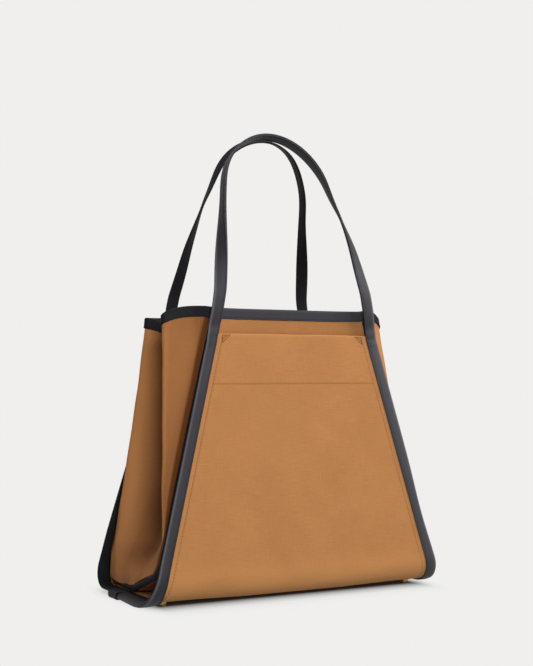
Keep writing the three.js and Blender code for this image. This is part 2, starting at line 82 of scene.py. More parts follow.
def squarer(wave, power):  # size to a power, sign kept: makes a circle squarer
    return np.sign(wave) * np.abs(wave) ** power


def ripple(u, v, size, seed):  # sum of nine sine waves of about one size, in seeded directions
    angle, phase, scale = np.random.default_rng(seed).uniform((0, 0, 0.6), (pi, 2 * pi, 1.7), (9, 3)).T
    u, v = np.broadcast_arrays(u, v)
    way = u[..., None] * np.cos(angle) + v[..., None] * np.sin(angle)
    return np.sin(2 * pi * way * scale / size + phase).sum(-1) / 3


def spaced(*runs):  # even steps along runs of (from, to, count), without repeats
    return np.unique(join(*(np.linspace(a, b, n) for a, b, n in runs)).round(5))


def lengthsAlong(path):  # running length of a polyline, or the mean of several side by side
    steps = np.linalg.norm(np.diff(path[..., :3], axis=0), axis=-1)
    return join([0.0], np.cumsum(steps.reshape(len(steps), -1).mean(1)))


def rowsAt(path, lengths):  # rows of a polyline at these lengths along it
    at = lengthsAlong(path)
    return point(*(np.interp(lengths, at, column) for column in path.T))


def resample(path, step):  # rows of a polyline at even steps of its length
    end = lengthsAlong(path)[-1]
    return rowsAt(path, np.linspace(0, end, max(2, int(round(end / step)) + 1)))


def sheetNormals(grid):  # cross product of the grid's two directions
    return unit(np.cross(np.gradient(grid, axis=0), np.gradient(grid, axis=1)))


def ringFaces(count, size, closed):
    # each ring's corner joins the next corner and the next ring; strips across the profile close both ends
    i, j = np.meshgrid(np.arange(count if closed else count - 1), np.arange(size), indexing="ij")
    i, j = i[..., None] + np.array([0, 0, 1, 1]), j[..., None] + np.array([0, 1, 1, 0])
    quads = (i % count * size + j % size).reshape(-1, 4)
    places = np.stack([i, j], axis=-1).reshape(-1, 4, 2)
    if closed:
        return quads, places
    k = np.arange(size // 2 - 1)
    start = np.stack([k + 1, k, size - 1 - k, size - 2 - k], axis=-1)
    end = start[:, ::-1]
    quads = join(quads, start, end + (count - 1) * size)
    ends = [np.stack([np.full_like(cap, row), cap], axis=-1) for cap, row in ((start, 0), (end, count - 1))]
    return quads, join(places, *ends)


def ringCloth(rings, closed):  # lengths around the middle ring and along the path
    middle = rings[len(rings) // 2]
    around = lengthsAlong(join(middle, middle[:1]))
    along = lengthsAlong(join(rings, rings[:1]) if closed else rings)
    return point(*np.meshgrid(along, around, indexing="ij")[::-1])


def addObject(name, data):  # an object in the scene that holds this data
    made = bpy.data.objects.new(name, data)
    bpy.context.scene.collection.objects.link(made)
    return made


def putMesh(name, points, quads, corners, tone, finish):
    # four-sided faces turned outwards by the sign of the volume, smooth except at sharp creases
    p = points[quads]
    volume = np.einsum("ij,ij->", p[:, 0], np.cross(p[:, 1], p[:, 2]) + np.cross(p[:, 2], p[:, 3]))
    if volume < 0:
        quads, corners = quads[:, ::-1], corners[:, ::-1]
    mesh = bpy.data.meshes.new(name)
    mesh.vertices.add(len(points))
    mesh.vertices.foreach_set("co", (points * millimetre).astype(np.float32).ravel())
    mesh.loops.add(quads.size)
    mesh.loops.foreach_set("vertex_index", np.ascontiguousarray(quads, np.int32).ravel())
    mesh.polygons.add(len(quads))
    mesh.polygons.foreach_set("loop_start", np.arange(0, quads.size, 4, dtype=np.int32))
    mesh.uv_layers.new(name="cloth").data.foreach_set("uv", np.ascontiguousarray(corners, np.float32).ravel())
    mesh.attributes.new("tone", "FLOAT", "POINT").data.foreach_set("value", tone.astype(np.float32).ravel())
    mesh.update(calc_edges=True)
    mesh.validate()
    mesh.shade_smooth()
    mesh.set_sharp_from_angle(angle=creaseAngle)
    mesh.materials.append(finish)
    return addObject(name, mesh)


def carryProfile(name, rings, finish, tone=None, closed=False, cloth=None):
    # closed profile carried along a path: rings[i, j] is point j of the profile at step i
    quads, places = ringFaces(*rings.shape[:2], closed)
    cloth = ringCloth(rings, closed) if cloth is None else cloth
    tone = np.zeros(rings.shape[:2]) if tone is None else np.broadcast_to(tone, rings.shape[:2])
    return putMesh(name, rings.reshape(-1, 3), quads, cloth[places[..., 0], places[..., 1]], tone, finish)


def thickSheet(name, middle, normals, thick, cloth, tone, finish, innerPaintedLight=0.0):
    # cloth of even thickness: half of it on each side of the middle surface, joined round the edges;
    # the last argument is painted light, added to the tone of its inner side
    layers = [middle + normals * thick / 2, (middle - normals * thick / 2)[:, ::-1]]
    cloth = join(cloth, cloth[:, ::-1], cloth[:, :1], axis=1)
    return carryProfile(name, join(*layers, axis=1), finish,
                        join(tone, (tone + innerPaintedLight)[:, ::-1], axis=1), cloth=cloth)


def stripRing(line, thick):
    # outline of a strip: its centre line set off both ways, drawn in over a half circle at each cut end
    at = lengthsAlong(line)
    near = np.minimum(at, at[-1] - at) / (thick / 2)
    half = thick / 2 * np.sqrt(1 - np.square(1 - np.clip(near + 0.03, 0, 1)))
    run = unit(np.gradient(line, axis=0))
    setOff = point(-run[:, 1], run[:, 0]) * half[:, None]
    return join(line + setOff, (line - setOff)[::-1])


def cutLine(line, thick, step):  # polyline at even steps, closer near its cut ends
    end = lengthsAlong(line)[-1]
    rim = thick / 2 * np.array([0.0, 0.12, 0.4, 1.0])
    body = np.linspace(thick, end - thick, max(2, int((end - 2 * thick) / step)))
    return rowsAt(line, join(rim, body, end - rim[::-1]))


class Value:  # a shader number: arithmetic on it adds Math nodes
    def __init__(self, finish, socket):
        self.finish, self.socket = finish, socket

    def math(self, operation, *values):
        made = self.finish.node("Math", dict(enumerate(values)), operation=operation)
        return Value(self.finish, made[0])

    def __add__(self, other):
        return self.math("ADD", self, other)

    def __sub__(self, other):
        return self.math("SUBTRACT", self, other)

    def __rsub__(self, other):
        return self.math("SUBTRACT", other, self)

    def __mul__(self, other):
        return self.math("MULTIPLY", self, other)

    def sine(self):
        return self.math("SINE", self)

    def limit(self):  # held between 0 and 1
        return self.math("MINIMUM", self.math("MAXIMUM", self, 0.0), 1.0)

    __radd__ = __add__
    __rmul__ = __mul__


class Nodes:  # a shader tree
    def __init__(self, tree):
        self.tree = tree

    def feed(self, socket, value):
        value = value.socket if isinstance(value, Value) else value
        if isinstance(value, bpy.types.NodeSocket):
            self.tree.links.new(value, socket)
        else:
            socket.default_value = value

    def node(self, kind, inputs, **settings):  # a node's outputs, once its settings and sockets are filled
        made = self.tree.nodes.new("ShaderNode" + kind)
        for key, value in settings.items():
            setattr(made, key, value)
        for key, value in inputs.items():
            self.feed(made.inputs[key], value)
        return made.outputs

    def value(self, kind, inputs, output=0, **settings):
        return Value(self, self.node(kind, inputs, **settings)[output])

    def vector(self, operation, *places):  # vector arithmetic
        return self.node("VectorMath", dict(enumerate(places)), operation=operation)

    def place(self, output):  # the shaded point, in one kind of coordinates
        return self.node("TexCoord", {})[output]

    def show(self, output, share, first, second):  # two shaders blended as the tree's surface
        both = self.node("MixShader", {0: share, 1: first, 2: second})[0]
        self.feed(self.tree.nodes[output].inputs["Surface"], both)

    def split(self, place):  # the numbers of a point
        return [Value(self, part) for part in self.node("SeparateXYZ", {0: place})]


class Finish(Nodes):  # a material and its nodes
    def __init__(self, name, **fixed):
        self.material = bpy.data.materials.new(name)
        self.material.use_nodes = True
        super().__init__(self.material.node_tree)
        self.shader = self.tree.nodes["Principled BSDF"]
        for key, value in fixed.items():
            self.feed(self.shader.inputs[key.replace("_", " ")], value)

    def colour(self, factor, a, b):  # blend of two colours
        sockets = {0: factor, 6: a, 7: b}
        return self.node("Mix", sockets, data_type="RGBA", clamp_factor=True)[2]

    def cloth(self):  # the piece's own lengths across and along, in millimetres
        return self.split(self.node("UVMap", {}, uv_map="cloth")["UV"])[:2]

    def tone(self):  # the piece's own tone, paler above 0 and darker below
        return self.value("Attribute", {}, "Fac", attribute_name="tone")

    def noise(self, x, y, scale, detail=2.0, z=0.0):
        place = self.node("CombineXYZ", {0: x, 1: y, 2: z})[0]
        return self.value("TexNoise", {"Vector": place, "Scale": scale, "Detail": detail})

    def bump(self, height, strength, depth):
        made = self.node("Bump", {"Height": height, "Strength": strength, "Distance": depth})
        self.feed(self.shader.inputs["Normal"], made[0])

    def paint(self, colour, roughness):
        self.feed(self.shader.inputs["Base Color"], colour)
        self.feed(self.shader.inputs["Roughness"], roughness)
        return self.material


# fadedAndLit is the paler colour for worn places and for painted light
canvasLook = {
    "yarn": 0.95, "slubLength": 17.0, "slubWidth": 0.8, "cloud": 70.0, "speckScale": 0.55,
    "dark": (0.355, 0.150, 0.0495, 1), "light": (0.495, 0.227, 0.082, 1),
    "seam": (0.12, 0.037, 0.0085, 1), "fadedAndLit": (0.62, 0.285, 0.098, 1),
}
# shaded copy of the canvas for the side panels: redder and a little darker, painted to stand for light
# bounced about in their folds
shadedCanvasLook = {
    "dark": (0.36, 0.142, 0.046, 1), "light": (0.49, 0.212, 0.075, 1), "fadedAndLit": (0.62, 0.272, 0.094, 1),
}


def canvasFinish(name, look):
    # plain weave: product of two sines, with slubs as noise drawn out along each yarn and soft clouds of dye
    finish = Finish(name, Specular_IOR_Level=0.08)
    across, along = finish.cloth()
    wave = 2 * pi / look["yarn"]
    weave = (across * wave).sine() * (along * wave).sine()
    thin, long = 1 / look["slubWidth"], 1 / look["slubLength"]
    weft = finish.noise(across * long, along * thin, 1.0)
    warp = finish.noise(across * thin, along * long, 1.0, z=7.0)
    cloud = finish.noise(across, along, 1 / look["cloud"], 3.0, z=3.0)
    speck = finish.noise(across, along, look["speckScale"], 3.0, z=9.0)
    depth = 0.5 + (weft - 0.5) * 0.75 + (warp - 0.5) * 0.5 + (cloud - 0.5) * 0.5 + (speck - 0.5) * 0.4
    body = finish.colour((depth + weave * 0.09).limit(), look["dark"], look["light"])
    tone = finish.tone()
    # tone below 0 paints shade in the seam colour; tone above 0 paints paler wear and painted light
    body = finish.colour((0.0 - tone).limit(), body, look["seam"])
    body = finish.colour(tone.limit(), body, look["fadedAndLit"])
    finish.bump(weave * 0.35 + weft * 0.9 + warp * 0.7 + speck * 0.4, 0.55, 0.0005)
    return finish.paint(body, 0.8 + (speck - 0.5) * 0.25)


leatherLook = {
    "pebble": 1.15, "crease": 9.0,
    "dark": (0.0045, 0.0042, 0.006, 1), "light": (0.0135, 0.0128, 0.0170, 1), "wearAndSheen": (0.13, 0.127, 0.143, 1),
    "paintedShade": (0.003, 0.003, 0.0035, 1),
}


def leatherFinish(name, look, gloss, rough):
    # pebbled grain from rounded cells, faint creases across the strap; tone above 0 paints paler wear and
    # painted highlights, tone below 0 paints shade darker
    finish = Finish(name, Specular_IOR_Level=gloss, Specular_Tint=(0.95, 0.93, 1.0, 1))
    across, along = finish.cloth()
    place = finish.node("CombineXYZ", {0: across, 1: along, 2: 0.0})[0]
    cells = {"Vector": place, "Scale": 1 / look["pebble"], "Smoothness": 0.6}
    cells = finish.value("TexVoronoi", cells, feature="SMOOTH_F1")
    crease = finish.noise(across * 0.12, along, 1 / look["crease"], 3.0)
    soft = finish.noise(across, along, 0.035, 2.0, z=4.0)
    tone = finish.tone()
    body = finish.colour(((soft - 0.5) * 1.6 + 0.5 - cells * 0.4).limit(), look["dark"], look["light"])
    body = finish.colour(tone.limit(), body, look["wearAndSheen"])
    paintedShade = (0.0 - tone).limit()
    body = finish.colour(paintedShade, body, look["paintedShade"])
    finish.bump(crease * 0.9 - cells * 0.8, 0.4, 0.0004)
    rough = (soft - 0.5) * 0.25 + cells * 0.06 + paintedShade * 0.06 + tone.limit() * 0.5 + rough
    return finish.paint(body, rough.limit())


def threadFinish(name, dark, light):
    # two plies twisted: a sine of the length along plus the way around
    finish = Finish(name, Specular_IOR_Level=0.1)
    across, along = finish.cloth()
    twist = (along * 7.0 + across * 3.5).sine()
    finish.bump(twist, 0.5, 0.0001)
    return finish.paint(finish.colour((twist * 0.3 + 0.5).limit(), dark, light), 0.7 + twist * 0.06)


brassLook = {"patch": 320.0, "rings": 9000.0, "dark": (0.40, 0.215, 0.065, 1), "light": (0.78, 0.49, 0.19, 1)}
boardLook = {"fibre": 900.0, "patch": 40.0, "dark": (0.30, 0.125, 0.04, 1), "light": (0.46, 0.205, 0.07, 1)}


def brassFinish(name, look):
    # turned brass: fine rings of polish, dulled in soft patches
    finish = Finish(name, Metallic=1.0)
    x, y, z = finish.split(finish.place("Object"))
    patch = finish.noise(x, y, look["patch"], 3.0, z=z)
    rings = (z * look["rings"]).sine()
    finish.bump(rings * 0.3 + patch, 0.12, 0.00004)
    return finish.paint(finish.colour(patch, look["dark"], look["light"]), 0.25 + patch * 0.22)


def boardFinish(name, look):
    # pressed fibre board: short fibres as fine noise over slow patches
    finish = Finish(name)
    x, y, _ = finish.split(finish.place("Object"))
    fibre = finish.noise(x * 0.3, y, look["fibre"], 4.0)
    patch = finish.noise(x, y, look["patch"], 2.0)
    finish.bump(fibre, 0.4, 0.0002)
    shade = (fibre * 0.7 + patch * 0.5 - 0.1).limit()
    return finish.paint(finish.colour(shade, look["dark"], look["light"]), 0.85 + (fibre - 0.5) * 0.2)


canvas = canvasFinish("tan_canvas", canvasLook)
shadedCanvas = canvasFinish("shaded_canvas", {**canvasLook, **shadedCanvasLook})
leather = leatherFinish("strap_leather", leatherLook, gloss=0.4, rough=0.52)
bindingLeather = leatherFinish("binding_leather", leatherLook, gloss=0.16, rough=0.6)
tanThread = threadFinish("tan_thread", (0.17, 0.068, 0.022, 1), (0.28, 0.118, 0.04, 1))
tackThread = threadFinish("tack_thread", (0.07, 0.022, 0.005, 1), (0.15, 0.052, 0.013, 1))
blackThread = threadFinish("black_thread", (0.006, 0.006, 0.007, 1), (0.016, 0.016, 0.018, 1))
brass = brassFinish("brass_stud", brassLook)
board = boardFinish("fibre_board", boardLook)
print("finishes ready")


def sideOutline(level, runs):
    # half of the bag seen from its end: straight runs and arcs from the middle of the base upwards,
    # each stored as its start (s, y, z), its first angle and how fast it turns
    rows, s, y, z = [], 0.0, 0.0, level
    for length, start, end in runs:
        rows.append((s, y, z, start, (end - start) / length))
        s = s + length
        y, z, *_ = outlineAt({"rows": np.array(rows)}, s)
    rows = np.array(rows)
    corner = rows[-2, 0] + runs[-2][0] / 2
    return {"rows": rows, "flat": runs[0][0], "arcEnd": rows[-1, 0], "corner": corner}


def outlineAt(outline, s):
    # chord of an arc: its length times sinc of half its turn, laid at its middle angle
    s = np.asarray(s, float)
    rows = outline["rows"]
    row = rows[np.clip(np.searchsorted(rows[:, 0], s, side="right") - 1, 0, None)]
    d = s - row[..., 0]
    half = row[..., 4] * d / 2
    chord, angle = d * np.sinc(half / pi), row[..., 3] + half
    end = row[..., 3] + 2 * half
    return row[..., 1] + chord * np.cos(angle), row[..., 2] + chord * np.sin(angle), np.sin(end), -np.cos(end)


def lengthTo(outline, z):  # length at which the outline reaches a height
    s = np.linspace(outline["flat"], outline["arcEnd"] + 400, 6000)
    return np.interp(z, outlineAt(outline, s)[1], s)


bagCut = {
    "baseHalf": 200.0, "depthHalf": 91.0, "mouthDepthHalf": 65.2, "mouthHeight": 313.5, "mouthHalf": 119.3,
    "corner": 28.0, "rearInset": 5.0, "rearMouthInset": 8.0, "baseLevel": 5.9, "canvas": 1.4,
    "bodyLevel": 11.8, "bodyCorner": 45.0, "panelSet": 3.8, "rimCanvas": 343.7,
}
tilt = atan2(bagCut["depthHalf"] - bagCut["mouthDepthHalf"], bagCut["mouthHeight"] - bagCut["baseLevel"])
turn = pi / 2 + tilt
plane = (600, turn, turn)  # the leaning side, longer than any piece on it
bodyHalf = (bagCut["depthHalf"] - (bagCut["bodyLevel"] - bagCut["baseLevel"]) * tan(tilt)
            - bagCut["panelSet"] / cos(tilt))
bodyCut = {"flat": 3.0, "bend": 60.0, "corner": 22.0, "slope": {-1: 0.345, 1: 0.04}}


def roundedRuns(half, radius):  # flat base, one corner arc, then the leaning plane
    return [(half - radius * tan(turn / 2), 0, 0), (radius * turn, 0, turn), plane]


def raisedRuns(slope):
    # flat, a bend into a slope, a tighter corner, then the plane; the slope takes up the depth that is left
    flat, bend, corner = bodyCut["flat"], bodyCut["bend"], bodyCut["corner"]
    arcs = bend * sin(slope) + corner * (sin(turn) - sin(slope))
    climb = bend * (1 - cos(slope)) + corner * (cos(slope) - cos(turn))
    length = (bodyHalf - flat - arcs - climb * tan(tilt)) / (cos(slope) + sin(slope) * tan(tilt))
    return [(flat, 0, 0), (bend * slope, 0, slope), (length, slope, slope),
            (corner * (turn - slope), slope, turn), plane]


wrapLine = sideOutline(bagCut["baseLevel"], roundedRuns(bagCut["depthHalf"], bagCut["corner"]))
bellyLine = sideOutline(bagCut["bodyLevel"], roundedRuns(bodyHalf, bagCut["bodyCorner"]))
bodyLines = {face: sideOutline(bagCut["bodyLevel"], raisedRuns(slope))
             for face, slope in bodyCut["slope"].items()}
for line in bodyLines.values():
    line["top"] = float(lengthTo(line, bagCut["rimCanvas"]))
wrapTop = float(lengthTo(wrapLine, bagCut["mouthHeight"]))
bellyTop = float(lengthTo(bellyLine, bagCut["rimCanvas"]))
wrapFlat, wrapEnd = wrapLine["flat"], wrapLine["arcEnd"]
wrapArc = wrapEnd - wrapFlat


def planeNormal(face):  # outwards from the leaning side
    return np.array([0, face * cos(tilt), sin(tilt)])


def atRear(face):  # face is -1 at the front and 1 at the rear
    return np.asarray(face) > 0


def baseHalf(face):  # half width of the base, less an inset at the rear
    return bagCut["baseHalf"] - bagCut["rearInset"] * atRear(face)


def mouthHalf(face):  # half width of the pocket mouth, less its own inset at the rear
    return bagCut["mouthHalf"] - bagCut["rearMouthInset"] * atRear(face)


def wrapSlope(face):  # width lost per length of the leaning plane
    return (baseHalf(face) - mouthHalf(face)) / (wrapTop - wrapFlat - wrapArc / 2)


def wrapHalf(face, s):
    # half width over the straps: straight across the base, a parabola round the corner, then a straight taper
    base = mix(baseHalf(-1), baseHalf(1), (face * s + wrapFlat) / (2 * wrapFlat))
    past = np.clip(s - wrapFlat, 0, None)
    bent = np.minimum(past, wrapArc)
    side = baseHalf(face) - wrapSlope(face) * (bent * bent / (2 * wrapArc) + np.maximum(0, past - wrapArc))
    return np.where(s <= wrapFlat, base, side)


def narrowing(face, s):  # change of that half width per length
    base = -face * bagCut["rearInset"] / (2 * wrapFlat)
    return np.where(s <= wrapFlat, base, -wrapSlope(face) * np.clip((s - wrapFlat) / wrapArc, 0, 1))


def slant(face, s):  # length of the wrap's edge per length of its cloth
    return np.hypot(1, narrowing(face, s))


def setOut(at, face, x, out):  # a place on an outline, moved out along its normal
    y, z, ny, nz = at
    return point(x, face * (y + out * ny), z + out * nz)


def onOutline(outline, face, x, s, out):  # the same at a length along the outline
    return setOut(outlineAt(outline, s), face, x, out)


def bodySize(face, key):  # a length of the inner bag's outline, which lies lower at the rear
    return np.where(atRear(face), bodyLines[1][key], bodyLines[-1][key])


def bodyAt(face, s):  # that outline's place and normal
    front, rear = (outlineAt(bodyLines[k], s) for k in (-1, 1))
    return [np.where(atRear(face), b, a) for a, b in zip(front, rear)]


def onBody(face, x, s, out):  # the same on the inner bag
    return setOut(bodyAt(face, s), face, x, out)


def bothFaces(front, rear):
    # rows down the front, along the base and up the rear, with -1 or 1 for the face each is on
    rows = join(front[:0:-1], rear)
    return rows, np.where(np.arange(len(rows)) < len(front) - 1, -1.0, 1.0)


wrapCut = {
    "facing": 59.0, "edgeStitch": 21.4, "hold": 10.5, "fold": 0.85, "sag": 1.6, "gape": 1.6, "pucker": 0.35,
    "waves": ((0.8, 150, 4), (0.22, 42, 5)),  # height, size and seed of each
}


def wrapShape(face, x, s, outer):
    # set out of the cloth: slow waves, a sagging base, a slack mouth, and a pucker along each row of stitches
    inside = (wrapHalf(face, s) - np.abs(x)) / slant(face, s)
    free = ease(inside, 24, 40)
    base = 1 - ease(s, wrapFlat, wrapArc)
    out = 0
    for height, size, seed in wrapCut["waves"]:
        out = out + height * ripple(x, face * s, size, seed) * free * (1 - base)
    out = out + wrapCut["sag"] * ease((152 - np.abs(x)) / 100) * base
    out = out + wrapCut["gape"] * free * hump(s, wrapTop, 55)
    # the stitch rows: they sink the cloth into a pucker, and the wrap's tone paints shade along them
    seam = hump(inside, wrapCut["edgeStitch"], 1.1)
    hem = hump(s, hemLine, 1.1) * (inside > wrapCut["edgeStitch"])
    return out - wrapCut["pucker"] * (seam + hem) * outer, seam + hem


hemLine = float(lengthTo(wrapLine, bagCut["mouthHeight"] - wrapCut["facing"]))


def wrapPiece():
    # one strip of cloth down the front, under the base and up the rear, turned in at each mouth as a deep hem
    fold = wrapCut["fold"]
    outer = spaced((0, wrapFlat, 11), (wrapFlat, wrapEnd, 15), (wrapEnd, wrapTop - fold, 66),
                   (hemLine - 4, hemLine + 4, 17), (wrapTop - 9, wrapTop - fold, 6))
    angle = np.linspace(0, pi, 9)[1:-1]
    inner = spaced((hemLine - 5, wrapTop - fold, 26))[::-1]
    s = join(outer, wrapTop - fold + fold * np.sin(angle), inner)
    out = join(outer * 0, fold * (np.cos(angle) - 1), inner * 0 - 2 * fold) - bagCut["canvas"] / 2
    up = join(outer * 0, np.sin(angle), inner * 0)
    away = join(outer * 0 + 1, np.cos(angle), inner * 0 - 1)
    along = lengthsAlong(point(s, out))
    half = point(s, out, up, away, along)
    rows, face = bothFaces(half, half)
    s, out, up, away, along, face = (column[:, None] for column in (*rows.T, face))

    rim = np.array([wrapCut["hold"], 13, 15.5, 17.5, 19, 20, 20.7, 21.4, 22.1, 22.8, 23.8, 25.5, 28])
    between = np.linspace(-1, 1, 56)[1:-1]
    share = join(-np.ones(len(rim)), between, np.ones(len(rim)))
    edge = join(rim - rim[-1], 0 * between, rim[-1] - rim[::-1])
    scale = slant(face, s)
    x = share * (wrapHalf(face, s) - rim[-1] * scale) + edge * scale
    lift, seam = wrapShape(face, x, s, away > 0.5)
    *_, ny, nz = outlineAt(wrapLine, s)
    middle = onOutline(wrapLine, face, x, s, out + lift)
    normal = point(0 * x, face * (up * -nz + away * ny), up * ny + away * nz)
    # tone: painted shade along the puckered stitch rows, paler along the mouth's fold, and painted light on
    # the rounded base corner, which faces down into shade
    tone = -0.14 * seam + 0.25 * hump(s, wrapTop, 2.5) + 0.75 * hump((s - wrapFlat - wrapArc * 0.4) / 24)
    cloth = point(x, face * along)
    # painted light: its inner side paler low down, near the straps, where it lies in shade
    innerPaintedLight = 0.9 * ease(np.abs(x), 140, 25) * ease((wrapEnd + 40 - s) / 20)
    return thickSheet("canvas_wrap", middle, normal, bagCut["canvas"], cloth, tone + 0 * x, canvas, innerPaintedLight)


seamCut = {
    "band": 7.0, "bandThick": 4.4, "clear": 0.8, "reach": 187.0, "inset": 11.0, "rearDraw": 8.0,
    "narrow": 5.6, "turn": (1.25, 0.14), "lift": 2.5, "sink": 2.2, "short": 12.2,
}


def bandWidth(face, s):
    # full width, drawn in to a narrow edge along the rear half of the base and its corner
    low = ease(s / 35) * (1 - ease(s - bodySize(face, "corner"), 15, 60))
    return seamCut["band"] - seamCut["narrow"] * atRear(face) * low


def seamX(face, s):  # side of the inner bag: inside the wrap's edge, and never past its reach
    share = np.clip(s / bodySize(face, "corner"), 0, 1)
    reach = seamCut["reach"] - bagCut["rearInset"] * (0.5 + 0.5 * face * share)
    reach = reach - seamCut["rearDraw"] * atRear(face) * share ** 5
    return np.minimum(wrapHalf(face, lengthTo(wrapLine, bodyAt(face, s)[1])) - seamCut["inset"], reach)


def seamTurn(face, s):  # angle at which the side panel leaves the seam: steep below, flat at the rim
    flat = bodySize(face, "flat")
    return mix(*seamCut["turn"], np.clip((s - flat) / (bodySize(face, "top") - flat), 0, 1) ** 0.6)


def seamPoint(side, face, s):  # lifted where the panel leaves steeply, sunk where it leaves flat
    a = seamTurn(face, s)
    lift = seamCut["lift"] * np.sin(a) ** 12 - seamCut["sink"] * np.cos(a)
    return onBody(face, side * seamX(face, s), s, lift)


def seamFrame(side, face, s):  # point of the seam, and the ways into the gusset and through the band
    *_, ny, nz = bodyAt(face, s)
    a, turned = seamTurn(face, s), np.asarray(face, float)[..., None]
    leave = point(side * np.cos(a), -face * ny * np.sin(a), -nz * np.sin(a))
    run = seamPoint(side, face, s + 0.5) - seamPoint(side, face, s - 0.5)
    through = unit(np.cross(run, leave) * turned)
    return seamPoint(side, face, s), unit(np.cross(through, run) * turned), through


def gussetEdge(side, face, s):  # edge of the side panel, just past the bound seam
    at, into, _ = seamFrame(side, face, s)
    return at + into * (bandWidth(face, s) + seamCut["clear"])[..., None]


gussetCut = {
    "frontFold": {-1: 168.5, 1: 138.0}, "rearFold": {-1: 149.5, 1: 148.0}, "foldY": 45.0, "foldAt": 0.26,
    "footX": {-1: (178.2, 174.0), 1: (171.0, 174.0)}, "foot": 60.0, "valley": 100.0, "valleyY": 20.0,
    "drop": 12.5, "dip": 17.5, "crisp": 0.022, "soft": 0.055, "tight": 0.03, "wave": 0.6,
    "rearTop": 339.4, "cloth": (270, 345),
}


def gussetGrid(side, u, v):
    # side panel: its two seams joined through a W of four straight runs, each corner rounded by averaging,
    # straight at the foot and fully folded above a fifth of its height; u runs to the rear, v upwards
    cut, lines, foldAt = gussetCut, bodyLines, gussetCut["foldAt"]
    front, rear = (gussetEdge(side, k + 0 * v, mix(lines[k]["corner"], lines[k]["top"], v)) for k in (-1, 1))
    ends = [gussetEdge(side, k + 0 * v, lines[k]["corner"] + 0 * v) for k in (-1, 1)]
    along = mix(-lines[-1]["corner"], lines[1]["corner"], u)
    low = gussetEdge(side, np.where(along < 0, -1.0, 1.0), np.abs(along))
    sag = low - mix(ends[0], ends[1], u[..., None])
    straight = mix(front, rear, u[..., None]) + sag * ((1 - v) ** 3)[..., None]
    z = straight[..., 2]
    rise = np.clip((z - cut["foot"]) / (bagCut["rimCanvas"] - cut["foot"]), 0, 1)
    deep = np.clip((z - bagCut["bodyLevel"]) / (bagCut["rimCanvas"] - bagCut["bodyLevel"]), 0, 1)
    foldY = mix(bodyHalf - bagCut["bodyCorner"] / 4, cut["foldY"], rise ** 0.8)
    foldX = [side * mix(foot, cut[fold][side], rise)
             for fold, foot in zip(("frontFold", "rearFold"), cut["footX"][side])]
    valleyX = side * mix(seamCut["reach"], cut["valley"], 1 - (1 - deep) ** 3)
    knots = [(0, front[..., 0], front[..., 1]), (foldAt, foldX[0], -foldY),
             (0.5, valleyX, cut["valleyY"] * rise),
             (1 - foldAt, foldX[1], foldY), (1, rear[..., 0], rear[..., 1])]
    blur = mix(mix(cut["soft"], cut["tight"], v ** 3), cut["crisp"], hump(u, foldAt, 0.07))
    blur = np.minimum(np.minimum(blur, u), 1 - u)
    places = u[..., None] + blur[..., None] * np.linspace(-1, 1, 9)
    x = y = 0
    for tent, (_, kx, ky) in zip(np.eye(5), knots):  # weight of each corner: a tent over its two neighbours
        share = np.interp(places, [knot[0] for knot in knots], tent).mean(-1)
        x, y = x + share * kx, y + share * ky
    folded, near = ease(v / 0.17), np.minimum(u, 1 - u)
    leg = np.clip(near / foldAt, 0, 1)
    fall = cut["drop"] * np.where(u < 0.5, leg ** 3.5, 1 - (1 - leg) ** 4)
    fall = fall + cut["dip"] * ease((near - foldAt) / (0.5 - foldAt))
    slack = cut["wave"] * ripple(u * 260, v * 330, 95, 11 + side) * ease(near / 0.12) * ease((1 - v) / 0.1)
    x = mix(straight[..., 0], x, folded) + side * slack
    return point(x, mix(straight[..., 1], y, folded), z - fall * v ** 4)


foldPlaces = spaced((0, 0.2, 14), (0.2, 0.32, 25), (0.32, 0.5, 14))
gussetU = join(foldPlaces, 1 - foldPlaces[-2::-1])
gussetV = spaced((0, 0.16, 17), (0.16, 1, 52))


def gussetPiece(side, name):
    # tone: painted shade over the left panel's front wing, in the folds and in two patches low on the panel
    # (faint on the right), painted highlights along the front fold's ridge, the rear fold and the right
    # panel's front wing, and painted shadow along both seams
    u, v = np.meshgrid(gussetU, gussetV)
    grid = gussetGrid(side, u, v)
    underBinding = np.where(u > 0.9, gussetCut["rearTop"], np.inf)
    grid[..., 2] = np.minimum(grid[..., 2], underBinding)
    wide, high = gussetCut["cloth"]
    cloth = point((u - 0.5) * wide, v * high)
    # deep is painted shade above 0 and painted light below 0, by place across the panel
    deep = np.interp(u, [0, 0.2, 0.25, 0.27, 0.3, 0.5, 0.6, 0.7, 0.76, 1],
                     [0.3, 0.3, 0, 0, 0.1, 0.12, 0, -0.7, -0.7, 0])
    # painted shade in two patches low in the valley
    paintedHollowShade = 0.85 * hump(v, 0.24, 0.13) * np.interp(u, [0.27, 0.3, 0.5, 0.68], [0, 1, 0.9, 0])
    paintedHollowShade = paintedHollowShade + 0.5 * hump(v, 0.095, 0.045) * np.interp(u, [0.3, 0.4, 0.7, 0.88], [0, 1, 1, 0])
    deep = deep + paintedHollowShade * (1.0 if side < 0 else 0.15)
    # painted light on the right panel's front wing
    deep = np.where((u < 0.27) & (side > 0), -0.4, deep)
    # painted shadow within a few millimetres of both seams, where the strap and bound seam shade the cloth;
    # painted highlight on the front ridge
    seamDistance = np.minimum(*(np.linalg.norm(grid - grid[:, [k]], axis=-1) for k in (0, -1)))
    tone = 0.7 * hump(u, 0.262, 0.009) * ease(v, 0.15, 0.3) - deep * ease(v, 0.02, 0.12)
    tone = tone - 0.65 * ease((8.5 - seamDistance) / 3.5) - 0.5 * ease((5 - seamDistance) / 3)
    return thickSheet(name, grid, sheetNormals(grid), bagCut["canvas"], cloth, tone, shadedCanvas)


